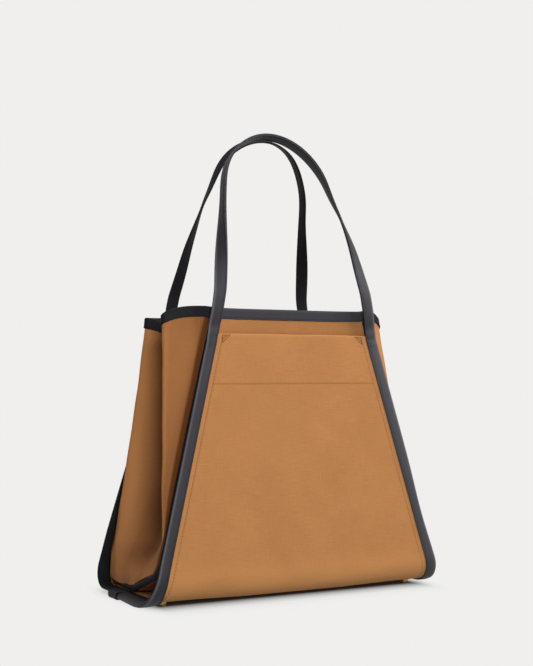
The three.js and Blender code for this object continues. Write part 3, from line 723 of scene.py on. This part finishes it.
def seamPiece(side, name):
    # bound seam: a rounded rectangle (superellipse) carried down the front, along the base and up the rear
    s, face = bothFaces(*(
        spaced((0, line["arcEnd"], 60), (line["arcEnd"], line["top"] - seamCut["short"], 90))
        for line in bodyLines.values()))
    at, into, through = seamFrame(side, face, s)
    a = circle(28) + pi / 28
    width = bandWidth(face, s)[:, None]
    across = squarer(np.cos(a), 0.42) * width / 2 + width / 2
    share = 0.3 + 0.7 * width / seamCut["band"]
    thick = squarer(np.sin(a), 0.55) * seamCut["bandThick"] / 2 * share
    rings = at[:, None] + into[:, None] * across[..., None] + through[:, None] * thick[..., None]
    return carryProfile(name, rings, bindingLeather, 0.05 * hump(np.abs(np.cos(a)), 1, 0.1)[None])


panelCut = {"hollow": 8.5, "wave": 1.0, "gap": 0.6}


def panelHalf(face, s):  # as far as the seam, less a gap and what the seam sinks in
    return seamX(face, s) - panelCut["gap"] - seamCut["sink"] * np.sin(seamTurn(face, s))


def bellyLength(face, s):  # the same share of base, corner and plane on the rounder middle outline
    bodyFlat, bodyEnd = bodySize(face, "flat"), bodySize(face, "arcEnd")
    past = (s - bodyFlat) / (bodyEnd - bodyFlat)
    flat, arcEnd = bellyLine["flat"], bellyLine["arcEnd"]
    low = np.where(past < 0, flat * s / bodyFlat, mix(flat, arcEnd, np.clip(past, 0, 1)))
    high = (s - bodyEnd) / (bodySize(face, "top") - bodyEnd)
    return np.where(past < 1, low, mix(arcEnd, bellyTop, high))


def panelGrid(face, across, s, out):
    # inner bag: the belly outline in the middle turning into the raised outline at the sides,
    # hollowed behind the pocket
    x = across * panelHalf(face, s)
    hollow = panelCut["hollow"] * ease((s - bodySize(face, "arcEnd")) / 90)
    out = out - hollow * (1 - across ** 4)
    middle = onOutline(bellyLine, face, x, bellyLength(face, s), out)
    return mix(middle, onBody(face, x, s, out), (across ** 4 + 0 * x)[..., None])


def innerPiece():
    # front panel, floor and rear panel in one sheet, with slow waves that fade towards its edges
    rows = bothFaces(*(spaced((0, line["flat"], 4), (line["flat"], line["arcEnd"], 28),
                              (line["arcEnd"], line["top"], 48)) for line in bodyLines.values()))
    s, face = (row[:, None] for row in rows)
    across = np.sin(np.linspace(-1, 1, 61) * pi / 2)[None]
    x = across * panelHalf(face, s)
    wave = panelCut["wave"] * ripple(x, face * s, 130, 8) * (1 - across ** 4)
    wave = wave * ease((s - bodySize(face, "arcEnd") + 20) / 60) * ease((bodySize(face, "top") - s) / 40)
    grid = panelGrid(face, across, s, wave - bagCut["canvas"] / 2)
    cloth = point(x, face * s)
    # painted shade: the whole inner bag a little darker, as it stands in the wrap's shade, with a painted
    # shadow line just above the pocket mouth
    tone = -0.18 - 0.4 * hump(grid[..., 2] - bagCut["mouthHeight"], 1.2, 2.2)
    return thickSheet("inner_bag", grid, sheetNormals(grid), bagCut["canvas"], cloth, tone, canvas)


rimCut = {"height": 12.0, "leather": 1.2, "bow": 1.6, "stitchUp": 2.0, "stitchOut": 2.2, "nudge": 0.01}


def rimStations():
    # edge of the canvas all the way round the bag, the line one binding height below it, the canvas normals,
    # and 1 where the edge belongs to a side panel
    rows, half, nudge = [], bagCut["canvas"] / 2, rimCut["nudge"]
    t = np.linspace(-1, 1, 71)
    uRow = gussetU[2:-2]
    lowShare = 1 - rimCut["height"] / (bodyLines[-1]["top"] - bodyLines[-1]["corner"])
    vRow = np.array([lowShare - nudge, lowShare, 1 - nudge, 1.0])
    for face, side in ((-1, 1), (1, -1)):
        across = t if face < 0 else t[::-1]
        top = bodyLines[face]["top"] + 0 * t
        levels = [panelGrid(face, across, top - drop, -half) for drop in (0, rimCut["height"])]
        normal = planeNormal(face) + 0 * levels[0]
        rows.append(join(*levels, normal, normal, 0 * t[:, None], axis=1))
        u, v = np.meshgrid(uRow if side > 0 else uRow[::-1], vRow)
        grid = gussetGrid(side, u, v)
        normal = sheetNormals(grid)
        normal = normal * np.sign((normal * np.array([side, 0, 0])).sum(-1).mean())
        rows.append(join(grid[3], grid[1], normal[3], normal[1], 0 * grid[3][:, :1] + 1, axis=1))
    return join(*rows)


def rimPiece(stations):
    # binding folded over the edge: a strip bent into a U, carried round the whole rim
    top, low, topNormal, lowNormal = (stations[:, 3 * k:3 * k + 3] for k in range(4))
    bow, high = rimCut["bow"], rimCut["height"] - bagCut["canvas"] / 2
    a = np.linspace(0, pi, 25)
    over = point(bow * np.cos(a), high + bow * np.sin(a))
    line = join([[bow, 0.0]], over, [[-bow, 0.0]])
    ring = stripRing(cutLine(line, rimCut["leather"], 1.0), rimCut["leather"])
    out, level = ring[None, :, 0, None], ring[None, :, 1, None]
    up = unit(top - low)[:, None]
    normal = unit(mix(lowNormal[:, None], topNormal[:, None], level / rimCut["height"]))
    rings = low[:, None] + up * level + normal * out
    # painted highlights along the binding's fold and its lower edge; painted light on the front and rear rims
    # and painted shade along the side panels
    wearAndSheen = 0.14 * hump(ring[:, 1], rimCut["height"], 1.4) + 0.1 * hump(ring[:, 1] / 0.5)
    tone = wearAndSheen[None] + 0.2 - 0.75 * stations[:, 12:]
    return carryProfile("rim_binding_loop", rings, bindingLeather, tone, closed=True)


strapCut = {
    "width": 15.5, "out": 1.7, "in": 3.1, "slot": 6.0, "facePoints": 17, "seamPoint": 11, "crease": 0.55,
    "end": 18.0, "endGap": 0.15, "legTop": 10.0, "handleFrom": 11.0, "slack": {-1: 1.0, 1: 0.2},
    "baseBow": 4.0, "swell": 2.4, "splay": 0.32, "sag": 1.8,
    "rise": {-1: 250.0, 1: 246.8}, "taper": {-1: 0.385, 1: 0.425}, "sharp": {-1: 7.0, 1: 9.5},
    "skew": {-1: 0.0, 1: -3.2}, "crown": {-1: -3.0, 1: 9.0}, "bow": 3.5, "bowHeight": 35.0,
    "sway": {(-1, -1): ((0.86, 0.14, 0.065),), (-1, 1): ((0.45, 0.11, 0.016), (0.7, 0.1, -0.039)),
             (1, -1): ((0.45, 0.11, 0.017), (0.77, 0.1, -0.042)), (1, 1): ((0.74, 0.1, 0.03),)},
}


def drawnIn(face, side, z):
    # how far the fold's edge lies inside the wrap's own: it wavers from strap to strap
    if face > 0:
        return -1.4 * ease(z, 30, 50) - 0.3
    return 2.3 - 3.2 * (1 - ease(z, 6, 34)) if side < 0 else 0.2 + 2.2 * hump(z, 95, 45)


def baseBow(s):  # along the base that edge bows outwards, as a parabola
    return strapCut["baseBow"] * np.clip(1 - np.square(s / (wrapFlat + wrapArc / 2)), 0, None)


def strapProfile(free, drawn):
    # folded strap: a rounded fold, two faces a little crowned, and the slot between its cut edges,
    # which holds the canvas on the bag and closes to a hairline on the handle (free = 1)
    width, top, low = strapCut["width"], strapCut["out"], mix(-strapCut["in"], -strapCut["out"], free)
    slotTop, slotLow, depth = mix(0.3, 0.05, free), mix(-1.7, -0.05, free), mix(strapCut["slot"], 0.5, free)
    nose = mix(-0.4, 0.0, free)
    a = radians(1) * np.array([8.0, 30.0, 54.0, 78.0])
    flat = np.array([2.4, 4.0, 6.0, 8.0, 10.0, 11.6, 12.5, 13.1, 13.7, 14.4, 15.0])
    crown = mix(0.9, 0.5, free) * np.square(np.clip(8.5 - flat, 0, None) / 6.1)
    crown = crown + 0.12 * np.square(np.clip(flat - 8.5, 0, None) / 6.5) + 0.14 * hump(flat, 13.1, 0.6)
    one = np.ones_like(free)
    rounded = np.array([0.62, 0.95]) * one
    upper = [nose + (top - crown[:, :1] - nose) * np.sin(a) * 0.95, top - crown, top - rounded]
    lower = [nose + (low - nose) * (1 - np.cos(a)) * 0.8, low + crown, low + rounded]
    edge = np.array([width - 0.12, width])
    faces = [join(reach * (1 - np.cos(a)), flat, edge)[None] * one for reach in (2.0, 2.4)]
    faces = [drawn + across * (1 - drawn / width) for across in faces]
    slot = join(width * one, width * one - depth, axis=1)
    across = join(faces[0], slot, slot[:, ::-1], faces[1][:, ::-1], axis=1)
    upper = join(*(part * one for part in upper), slotTop, slotTop, axis=1)
    lower = join(*(part * one for part in lower), slotLow, slotLow, axis=1)
    return across, join(upper, lower[:, ::-1], axis=1)


def strapPoint(face, side, s, across, out):  # square to the wrap's edge: in from the edge and down its slope
    slope = narrowing(face, s)
    inwards = across / np.hypot(1, slope)
    return onOutline(wrapLine, face, side * (wrapHalf(face, s) - inwards), s + slope * inwards, out)


def handleFrames(face):
    # free strap: rises from the mouth, bows out, leans in and closes in an arch; its face turns a quarter
    # on the way to the crown
    cut, start = strapCut, bagCut["mouthHeight"] + 0.6
    rise = cut["rise"][face]
    rootHalf = mouthHalf(face) - cut["width"] / 2 * np.hypot(1, wrapSlope(face))
    rootY = face * outlineAt(wrapLine, lengthTo(wrapLine, start))[0]

    def bowAt(t):  # square of t e^(1 - t), greatest at the bow's height
        share = np.maximum(t, 0) * rise / cut["bowHeight"]
        return (share * np.exp(1 - share)) ** 2

    def yAt(t):  # the bow, and a lean to the crown as a power of the height
        lean = np.maximum(0, (t - 0.2) / 0.8) ** 1.25
        return rootY + face * cut["bow"] * bowAt(t) + (cut["crown"][face] - rootY) * lean

    t = 1 - np.linspace(1, 0, 2500) ** 2.2
    arch = rootHalf * (1 - cut["taper"][face] * t) * np.sqrt(np.maximum(0, 1 - t ** cut["sharp"][face]))
    legs = []
    for side in (-1, 1):  # each leg sways a little in or out of the arch at its own heights
        sway = 1 + sum(share * hump(t, at, spread) for at, spread, share in cut["sway"][face, side])
        legs.append(point(side * arch * sway + cut["skew"][face] * bowAt(t), yAt(t), start + t * rise))
    path = resample(join(legs[0], legs[1][-2::-1]), 2.6)
    run = unit(np.gradient(path, axis=0))
    t = (path[:, 2] - start) / rise
    phi = np.arctan2(-face * (yAt(t + 0.01) - yAt(np.maximum(0, t - 0.01))), 0.02 * rise)
    outward = point(0 * phi, face * np.cos(phi), np.sin(phi))
    radial = unit(np.cross(run, outward) * face)
    firstHalf = np.arange(len(t)) < len(t) / 2
    early = firstHalf == (face < 0)  # each handle's inner leg turns sooner than the other
    theta = pi / 2 * np.where(early, ease(t, 0.1, 0.58), ease(t, 0.15, 0.8))[:, None]
    normal = unit(outward * np.cos(theta) + radial * np.sin(theta))
    inward = unit(np.cross(run, normal)) * -face
    level = point(np.where(firstHalf, 1.0, -1.0), 0, 0)
    inward = unit(mix(inward, level, (1 - ease(t * rise / 31))[:, None]))
    return path, normal, inward


def bridge(a, b, count):  # cubic between the last two rings of a and the first two of b
    t = np.linspace(0, 1, count + 2)[1:-1, None, None]
    reach = np.linalg.norm(b[0] - a[-1], axis=-1).mean()
    leave = unit(a[-1] - a[-2]) * reach
    meet = unit(b[1] - b[0]) * reach
    return ((1 + 2 * t) * (1 - t) ** 2 * a[-1] + t * (1 - t) ** 2 * leave
            + t * t * (3 - 2 * t) * b[0] - t * t * (1 - t) * meet)


def strapPiece(face, name):
    # one strap from keeper to keeper: up one edge of the wrap, over as the handle, and down the other edge
    cut = strapCut
    path, normal, inward = handleFrames(face)
    across, out = strapProfile(np.ones((len(path), 1)), np.zeros((len(path), 1)))
    share = across[0]
    handle = (path[:, None] + inward[:, None] * (across - cut["width"] / 2)[..., None]
              + normal[:, None] * out[..., None])
    handle = handle[path[:, 2] > bagCut["mouthHeight"] + cut["handleFrom"]]
    start = face * cut["end"] + cut["endGap"]
    s = spaced((start, wrapFlat, 22), (wrapFlat, wrapEnd, 20), (wrapEnd, wrapTop - cut["legTop"], 96))
    s = s[:, None]
    outer = slice(0, cut["facePoints"])
    legs = []
    for side in (-1, 1):
        # the left side rests lower and further out than the right, but its rear corner is lifted
        slack = cut["slack"][side] * (1 if face < 0 else 1 - ease(s, 22, 26))
        across, out = strapProfile(0 * s, drawnIn(face, side, outlineAt(wrapLine, s)[1]) - slack * baseBow(s))
        across = across * (1 + slack * cut["splay"] * hump((s - wrapFlat - wrapArc / 8) / 24))
        out[:, outer] += slack * cut["swell"] * (1 - ease((s - wrapFlat + wrapArc / 3) / wrapArc))
        sag = slack * cut["sag"] * hump((s - wrapFlat + wrapArc / 8) / 40)
        out[:, outer] += sag * (1 - 0.8 * across[:, outer] / cut["width"])
        legs.append(strapPoint(face, side, s, across, out))
    left, right = legs[0], legs[1][::-1]
    rings = join(left, bridge(left, handle, 9), handle, bridge(handle, right, 9), right)
    z = rings[..., 2]
    crease = hump(z, 317, 3.5) - 0.8 * hump(z, 309.5, 3.2) + 0.4 * hump(z, 303, 3.5)
    rings = rings + (cut["crease"] * crease)[..., None] * planeNormal(face)
    outside = np.arange(len(share)) < cut["facePoints"]
    # painted highlight along the front strap's fold edge; painted shade over the rear strap and on every
    # inner face
    wearAndSheen = (0.75 if face < 0 else 0.3) * hump(share, 1.5, 0.9) * outside
    wearAndSheen = wearAndSheen - (0 if face < 0 else 0.35) - np.where(outside, 0, 0.6)
    # paler at the kink by the mouth and in a band down the middle of the lower strap
    bent = 0.15 * (hump(z, 316, 5) + 0.5 * hump(z, 275, 22) * hump(share, 8, 4))
    # painted light on the front strap's right leg low down, on the front handle and on both arches' crowns;
    # it also roughens them
    strapPaintedLight = (0.13 * (rings[..., 0] > 0) * (z < 300) + 0.1 * ease(z, 335, 40)) * (face < 0) * outside
    strapPaintedLight = strapPaintedLight + 0.3 * ease(z, 480, 50)
    finish = leather if face < 0 else bindingLeather
    return carryProfile(name, rings, finish, wearAndSheen[None] + bent + strapPaintedLight), rings


keeperCut = {
    "inner": 9.0, "low": (2.7, 4.6), "reach": (1.6, 5.9), "under": 3.9, "nose": 3.0, "leather": 1.2,
    "middle": 15.0, "half": 11.0,
}


def keeperPiece(side, name):
    # sleeve round the strap ends: a strip bent into a C, carried along the base's side edge
    cut, slack = keeperCut, strapCut["slack"][side]
    low, reach, under = mix(*cut["low"], slack), mix(*cut["reach"], slack), cut["under"]
    a = np.linspace(pi / 2, 3 * pi / 2, 17)
    nose = point(cut["nose"] - reach + cut["nose"] * np.cos(a),
                 squarer(np.sin(a), 0.7) * (low + under) / 2 + (low - under) / 2)
    line = join([[cut["inner"], low]], nose, [[cut["inner"], -under]])
    ring = stripRing(cutLine(line, cut["leather"], 0.8), cut["leather"])
    s = spaced((cut["middle"] - cut["half"], cut["middle"] + cut["half"], 23))[:, None]
    off = s - cut["middle"]
    pinch = 0.35 * np.square(off / cut["half"]) - 0.1
    across, out = ring[None, :, 0], ring[None, :, 1]
    rings = onOutline(wrapLine, 1, side * (wrapHalf(1, s) - across + pinch), s, out)
    wearAndSheen = 0.15 * hump((ring[:, 0] + reach) / 1.2) + 0.15 * hump(np.abs(off), cut["half"], 0.8)
    return carryProfile(name, rings, bindingLeather, wearAndSheen)


studCut = {
    "inset": 30.0, "depth": 55.0,
    "profile": [[0.05, 12.0], [1.6, 11.95], [2.6, 11.6], [3.0, 11.0], [3.0, 10.3], [1.5, 10.25], [1.5, 5.65],
                [4.5, 5.6], [4.95, 5.35], [5.0, 4.7], [5.0, 3.9], [4.92, 2.9], [4.7, 1.9], [4.3, 1.0],
                [3.8, 0.4], [3.2, 0.06], [1.6, 0.0], [0.05, 0.0]],  # radius and height
}


def studPiece(face, side, name):
    # riveted foot: its profile turned about an upright axis
    a = circle(40)
    r, z = np.array(studCut["profile"]).T[..., None]
    x, y = side * float(baseHalf(face) - studCut["inset"]), face * studCut["depth"]
    rings = point(x + r * np.cos(a), y + r * np.sin(a), z)
    return carryProfile(name, rings, brass)


stitchCut = {
    "binding": {"pitch": 2.9, "thick": 0.55}, "strap": {"pitch": 3.0, "thick": 0.55},
    "hem": {"pitch": 3.9, "thick": 0.7, "fill": 0.6}, "tack": {"pitch": 2.3, "thick": 1.15, "fill": 0.66},
}


def stitchPiece(name, rows, finish, pitch, thick, fill=0.84):
    # stitches: short rounded threads end to end along each row, arched so that both ends dive into the cloth
    share = np.array([-1.0, -0.62, 0.0, 0.62, 1.0])[:, None, None]
    a = circle(6)[:, None]
    count, sides = len(share), len(a)
    radius = thick / 2 * (1 - 0.62 * share ** 4)
    length = pitch * fill
    threads, spans = [], []
    for path, up in rows:
        line = resample(join(path, up, axis=1), pitch)
        here, lift = line[:, None, None, :3], unit(line[:, None, None, 3:])
        run = unit(np.gradient(line[:, :3], axis=0))[:, None, None]
        across = unit(np.cross(run, lift))
        centre = here + run * share * length / 2 + lift * (thick * (0.34 - 0.6 * share ** 2))
        threads.append(centre + radius * (lift * np.cos(a) + across * np.sin(a)))
        spans.append(np.arange(len(line)) * pitch)
    rings, spans = join(*threads), join(*spans)
    quads, places = ringFaces(count, sides, False)
    quads = (quads[None] + count * sides * np.arange(len(rings))[:, None, None]).reshape(-1, 4)
    around = np.broadcast_to(places[None, ..., 1] * thick / 2, (len(rings), *places.shape[:2]))
    along = spans[:, None, None] + (places[None, ..., 0] - count // 2) * length / (count - 1)
    corners = point(around, along).reshape(-1, 4, 2)
    return putMesh(name, rings.reshape(-1, 3), quads, corners, np.zeros(len(rings) * count * sides), finish)


def wrapRow(face, x, s):  # a row on the outer face of the wrap, with the cloth's outward normal
    lift, _ = wrapShape(face, x, s, 1)
    *_, ny, nz = outlineAt(wrapLine, s)
    return onOutline(wrapLine, face, x, s, lift), point(0 * x, face * ny, nz)


tackCut = {"wide": 9.5, "deep": 7.8, "gap": 0.5, "upright": 8.2, "shift": 0.4, "below": 1.5}


def stitchLine(face, s):  # half width out to the row of stitches beside the strap
    return wrapHalf(face, s) - wrapCut["edgeStitch"] * slant(face, s)


def wrapRows():  # rows along both edges of the wrap, inside the straps, and across it at the hem
    rows = []
    for face in (-1, 1):
        s = spaced((wrapFlat + 4, wrapTop - tackCut["below"], 160))
        reach = stitchLine(face, s)
        rows += [wrapRow(face, side * reach, s) for side in (-1, 1)]
        across = float(np.interp(hemLine, s, reach)) - 1.5
        x = np.linspace(-across, across, 120)
        rows.append(wrapRow(face, x, hemLine + 0 * x))
    return rows


def tackRows():  # three-cornered tack at each end of both pocket mouths
    cut, t, top = tackCut, np.linspace(0, 1, 30), wrapTop - tackCut["below"]
    rows = []
    for face in (-1, 1):
        corner = float(stitchLine(face, wrapTop - 2.0))
        lines = [(mix(cut["wide"] * share, cut["gap"], t), cut["deep"] * share * t) for share in (1.0, 0.55)]
        lines += [(mix(cut["gap"], cut["wide"], t), 0 * t), (0 * t - cut["shift"], cut["upright"] * t)]
        rows += [wrapRow(face, side * (corner - inwards), top - down)
                 for side in (-1, 1) for inwards, down in lines]
    return rows


def rimRows(stations):  # a row on each face of the binding, near its lower edge
    low, normal = stations[:, 3:6], unit(stations[:, 9:12])
    up = unit(stations[:, :3] - low)
    at = low + up * rimCut["stitchUp"]
    return [(at + normal * side * rimCut["stitchOut"], normal * side) for side in (1, -1)]


def strapRow(rings, k):
    # row through point k of the profile, with the normal that points away from the opposite face
    path = rings[:, k]
    up = unit(np.cross(np.gradient(path, axis=0), rings[:, k + 1] - rings[:, k - 1]))
    return path, up * np.sign((up * (path - rings[:, -1 - k])).sum(-1, keepdims=True))


def dress(piece, slot, *nodes):  # rides on the bag and stands for these solids, which it hides; slot is not used
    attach(piece, "bag")
    if nodes:
        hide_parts(*nodes)
    return piece


dress(wrapPiece(), "canvas", "wrap_front", "wrap_base", "wrap_rear", "front_facing", "rear_facing")
dress(innerPiece(), "canvas", "front_panel", "rear_panel", "body_floor")
for sideName, side in (("left", -1), ("right", 1)):
    dress(gussetPiece(side, sideName + "_side_panel"), "canvas", sideName + "_gusset")
    dress(seamPiece(side, sideName + "_bound_seam"), "leather", sideName + "_gusset_band")
    dress(keeperPiece(side, sideName + "_strap_sleeve"), "leather", sideName + "_keeper")
print("canvas panels and seams made")

stations = rimStations()
dress(rimPiece(stations), "leather",
      "front_rim_binding", "rear_rim_binding", "left_rim_binding", "right_rim_binding")
dress(stitchPiece("binding_stitches", rimRows(stations), blackThread, **stitchCut["binding"]), "leather")
dress(stitchPiece("canvas_stitches", wrapRows(), tanThread, **stitchCut["hem"]), "canvas")
dress(stitchPiece("pocket_tacks", tackRows(), tackThread, **stitchCut["tack"]), "canvas")
print("rim bound and stitched")

for faceName, face in (("front", -1), ("rear", 1)):
    strap, rings = strapPiece(face, faceName + "_strap_run")
    seams = [strapRow(rings, k) for k in (strapCut["seamPoint"], -1 - strapCut["seamPoint"])]
    thread = stitchPiece(faceName + "_strap_stitches", seams, blackThread, **stitchCut["strap"])
    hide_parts(faceName + "_left_strap", faceName + "_right_strap", faceName + "_handle")
    for piece in (strap, thread):
        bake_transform(piece)
    for sideName, side in (("left", -1), ("right", 1)):
        corner = faceName + "_" + sideName
        dress(studPiece(face, side, corner + "_stud"), "brass", corner + "_foot")
print("straps, handles and studs made")

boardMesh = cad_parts["base_board"].data
boardMesh.materials.clear()
boardMesh.materials.append(board)

stageLook = {
    "paper": (0.871, 0.863, 0.847, 1), "shade": (0.06, 0.075, 0.085, 1), "lit": (0.62, 0.69, 0.74, 1),
    "half": 30, "centre": (0.002, -0.003, 0.0), "footprint": (0.176, 0.053, 0.0), "squeeze": (2.2, 1.0, 1.0),
    "fade": 0.09, "dim": 0.075, "glowBack": 0.85, "back": (0.4955, 0.8686, 0.0), "bounce": 0.2,
}


def floorPiece():
    # square of paper, lit near the bag and fading to the backdrop's own colour, with a painted contact
    # shadow: its colour runs from the dark shade under the footprint to a pale bluish one; the distance from
    # the bag is the length of what is left of |x|, |y| past its footprint's half sides
    look, half = stageLook, stageLook["half"]
    mesh = bpy.data.meshes.new("studio_floor")
    corners = [(x * half, y * half, 0) for x, y in ((-1, -1), (1, -1), (1, 1), (-1, 1))]
    mesh.from_pydata(corners, [], [(0, 1, 2, 3)])
    finish = Finish("pale_paper", Specular_IOR_Level=0.1)
    place = finish.place("Object")
    steps = (("SUBTRACT", look["centre"]), ("ABSOLUTE",), ("SUBTRACT", look["footprint"]),
             ("MAXIMUM", (0, 0, 0)), ("MULTIPLY", look["squeeze"]))
    for operation, *other in steps:
        place = finish.vector(operation, place, *other)[0]
    far = Value(finish, finish.vector("LENGTH", place)["Value"])
    share = (far * (1 / look["fade"])).limit()
    share = share * (2 - share)
    finish.paint(finish.colour((far * (2 / look["fade"])).limit(), look["shade"], look["lit"]), 0.9)
    glow = finish.node("Emission", {"Color": look["paper"], "Strength": 1.0})[0]
    finish.show("Material Output", share, finish.shader.outputs[0], glow)
    mesh.materials.append(finish.material)
    floor = addObject("studio_floor", mesh)
    floor.visible_diffuse = False  # the backdrop's glow does not light the folds from below


lamps = {
    "overhead": {"at": (0.1, 0.1, 2.0), "aim": (0, 0, 0), "size": 1.6, "power": 13.0},
    "rightKey": {"at": (1.455, -1.221, 1.1), "aim": (0, 0, 0.2), "size": 0.8, "power": 31.5},
    "lensFill": {"at": (-0.65, -1.785, 0.75), "aim": (0, 0, 0.2), "size": 0.6, "power": 26.0},
}


def aimed(source, target):  # rotation that turns -Z from source to target
    return (Vector(target) - Vector(source)).to_track_quat("-Z", "Y").to_euler()


floorPiece()
for name, lamp in lamps.items():
    light = bpy.data.lights.new(name, "AREA")
    light.size, light.energy = lamp["size"], lamp["power"]
    holder = addObject(name, light)
    holder.location, holder.rotation_euler = lamp["at"], aimed(lamp["at"], lamp["aim"])

world = bpy.data.worlds.new("studio")
world.use_nodes = True
sky = Nodes(world.node_tree)
toward = sky.place("Generated")


def skyShare(way):  # dot product of the direction looked in with a way
    return Value(sky, sky.vector("DOT_PRODUCT", toward, way)["Value"])


# pale backdrop behind the bag, dim room in front of it, and light thrown up by the floor
share = ((skyShare(stageLook["back"]) + 0.25) * 1.4).limit()
bounce = (skyShare((0.0, 0.0, -1.0)) * 2.5).limit() * stageLook["bounce"]
room = sky.node("Background", {
    "Strength": share * share * stageLook["glowBack"] + bounce + stageLook["dim"]})
paper = sky.node("Background", {"Color": stageLook["paper"]})  # seen by the lens behind the bag
seen = sky.node("LightPath", {})["Is Camera Ray"]
sky.show("World Output", seen, room[0], paper[0])
bpy.context.scene.world = world
bpy.context.scene.view_settings.view_transform = "Standard"

cameraLook = {
    "at": (-0.8137, -1.4246, 0.2640), "turn": (91.88, 0.0, -29.7), "sensor": 36.0,
    "lens": 1306.7 * 36 / 666,  # in pixels, times the sensor over the picture's height
}
lensData = bpy.data.cameras.new("photo_camera")
lensData.sensor_fit, lensData.sensor_width = "AUTO", cameraLook["sensor"]
lensData.lens = cameraLook["lens"]
camera = addObject("photo_camera", lensData)
camera.location = cameraLook["at"]
camera.rotation_euler = [radians(angle) for angle in cameraLook["turn"]]
bpy.context.scene.camera = camera
print("stage, lamps and camera set")
